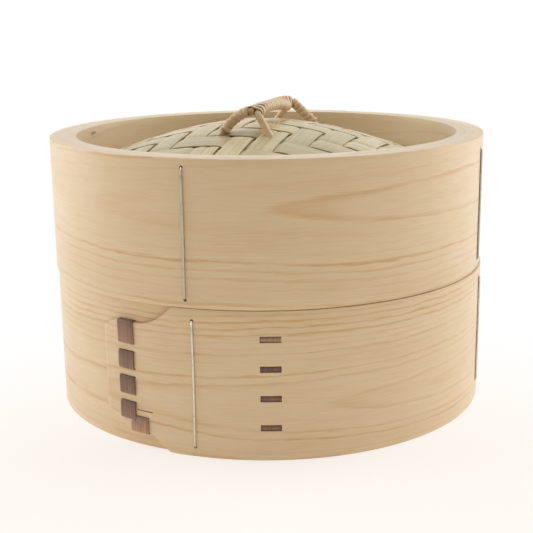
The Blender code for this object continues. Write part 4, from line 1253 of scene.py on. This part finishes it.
cane_rod = split_wood("cane_rod", (0.82, 0.625, 0.40), (0.62, 0.43, 0.24), 0.45, 3.0, 0.42, 0.05, 0.3, 0.0003)
wrapped_route, wrapped_marks = arch_route(0, WRAPPED_FOOT, WRAPPED_FAR_FOOT, WRAPPED_LEG_BULGE, WRAPPED_CANE)
plain_route, _ = arch_route(1, PLAIN_FOOT, 2 * GRIP_MIDDLE - PLAIN_FOOT, 0.0, PLAIN_CANE)
for name, cad_node, route, number, cane, swell, waves in (
    ("cane_arch_wrapped", "handle_arch_a", wrapped_route, 1.0, WRAPPED_CANE, -0.02, 40),
    ("cane_arch_plain", "handle_arch_b", plain_route, 2.0, PLAIN_CANE, 0.02, 33),
):
    arch = lay_rod(name, route, CANE_SIDES, number, cane / 2, swell, waves)
    arch.data.transform(Matrix.Translation(LID_AXIS))
    settle(arch, cane_rod, "lid", "cane", cad_node)


# Handle windings: flat split cane, skin side out, wound close along the grip and openly down two of the legs.
# Each strip is crowned, has painted shade along its edges and is narrowed at its ends.
GRIP_STRAND = 0.00055
LEG_STRAND = 0.00080
GRIP_LOOPS = 17
GRIP_STRIP = 0.0033
GRIP_WOUND = (0.005, 0.995)
GRIP_PLAY = 0.0001
LEG_LOOPS_NEAR = 7
LEG_LOOPS_FAR = 6
LEG_STRIP = 0.0022
LEG_FOOT_CLEAR = 0.0018
LEG_GRIP_CLEAR = 0.0001
LEG_STEP = 0.0005
POINTS_PER_LOOP = 32
WOUND_COLUMNS = 6
WOUND_CROWN = 0.00036
WOUND_SINK = 0.00014
WOUND_END_POINTS = 6
WOUND_END_WIDTH = 0.35
WOUND_EDGE_EASE = 0.35
WOUND_EDGE_SHADE = 0.34


def wound_strip(name, points, faces, width, thickness, number):
    """A flat strip along points, each with the way its skin side faces, crowned and rounded at its edges."""
    points, faces = np.array(points), np.array(faces)
    rows = len(points) - 1
    strip = new_grid(name, WOUND_COLUMNS, rows)
    places = corners_of(strip)
    across, at = places[:, 0].copy(), (places[:, 1] + 0.5) * rows
    numbers = np.arange(rows + 1)
    middle = between(at, numbers, points)
    out = unit(between(at, numbers, faces))
    side = unit(np.cross(between(at, numbers, np.gradient(points, axis=0)), out))
    crown = (1 - (2 * across) ** 2) * WOUND_CROWN
    narrow = np.clip(np.minimum(at, rows - at) / WOUND_END_POINTS, WOUND_END_WIDTH, 1)
    places = middle + side * (across * width * narrow)[:, None] + out * (crown - WOUND_SINK)[:, None]
    move_corners(strip, places)
    note_strip(strip, np.interp(at, numbers, run_lengths(points)), across * width, number)
    # Painted shade along each strip's edges, where the turns meet.
    note_tone_and_painted_shade(strip, 1 - WOUND_EDGE_SHADE * np.clip(np.abs(2 * across) * 3 - 2, 0, 1))
    thicken(strip, thickness)
    ease_edges(strip, WOUND_EDGE_EASE * thickness, 3)
    face_outwards()
    strip.data.transform(Matrix.Translation(LID_AXIS))
    shade_smooth(45)
    return strip


cane_skin = split_wood(
    "cane_skin", (0.81, 0.61, 0.375), (0.60, 0.405, 0.215), 0.5, 6.0, 0.34, 0.05, 0.2, 0.0003
)
show_tone_and_painted_shade(cane_skin)
points, faces = [], []
total = GRIP_LOOPS * POINTS_PER_LOOP
for i in range(total + 1):
    share = GRIP_WOUND[0] + (GRIP_WOUND[1] - GRIP_WOUND[0]) * i / total
    turn = 2 * math.pi * i / POINTS_PER_LOOP
    facing = grip_aside * math.cos(turn) + UP * math.sin(turn)
    wrapped, plain = pair_in_grip(share)
    discs = ((wrapped, WRAPPED_CANE / 2), (plain, PLAIN_CANE / 2))
    middle, radius = max(discs, key=lambda disc: disc[0].dot(facing) + disc[1])
    points.append(middle + facing * (radius + GRIP_PLAY + GRIP_STRAND / 2))
    faces.append(facing)
grip_wrap = wound_strip("grip_wrap", points, faces, GRIP_STRIP, GRIP_STRAND, 1.0)
settle(grip_wrap, cane_skin, "lid", "cane", "handle_grip_winding")

foot, grip, far_grip, far_foot = wrapped_marks
front_leg = wrapped_route[foot : grip + 1]
rear_leg = wrapped_route[far_grip : far_foot + 1][::-1]
for name, cad_node, leg, loops in (
    ("leg_wrap_front", "handle_leg_winding_front", front_leg, LEG_LOOPS_NEAR),
    ("leg_wrap_rear", "handle_leg_winding_rear", rear_leg, LEG_LOOPS_FAR),
):
    runs = run_lengths(leg)
    total = loops * POINTS_PER_LOOP
    points, faces = [], []
    for i, at in enumerate(np.linspace(LEG_FOOT_CLEAR, runs[-1] - LEG_GRIP_CLEAR, total + 1)):
        middle, ahead = between((at, at + LEG_STEP), runs, leg)
        along = (ahead - middle) / np.linalg.norm(ahead - middle)
        side = np.cross(along, UP)
        side /= np.linalg.norm(side)
        turn = 2 * math.pi * i / POINTS_PER_LOOP
        facing = side * math.cos(turn) + np.cross(side, along) * math.sin(turn)
        points.append(middle + facing * (WRAPPED_CANE / 2 + FIT_GAP / 2 + LEG_STRAND / 2))
        faces.append(facing)
    leg_wrap = wound_strip(name, points, faces, LEG_STRIP, LEG_STRAND, 4.0 + loops)
    settle(leg_wrap, cane_skin, "lid", "cane", cad_node)
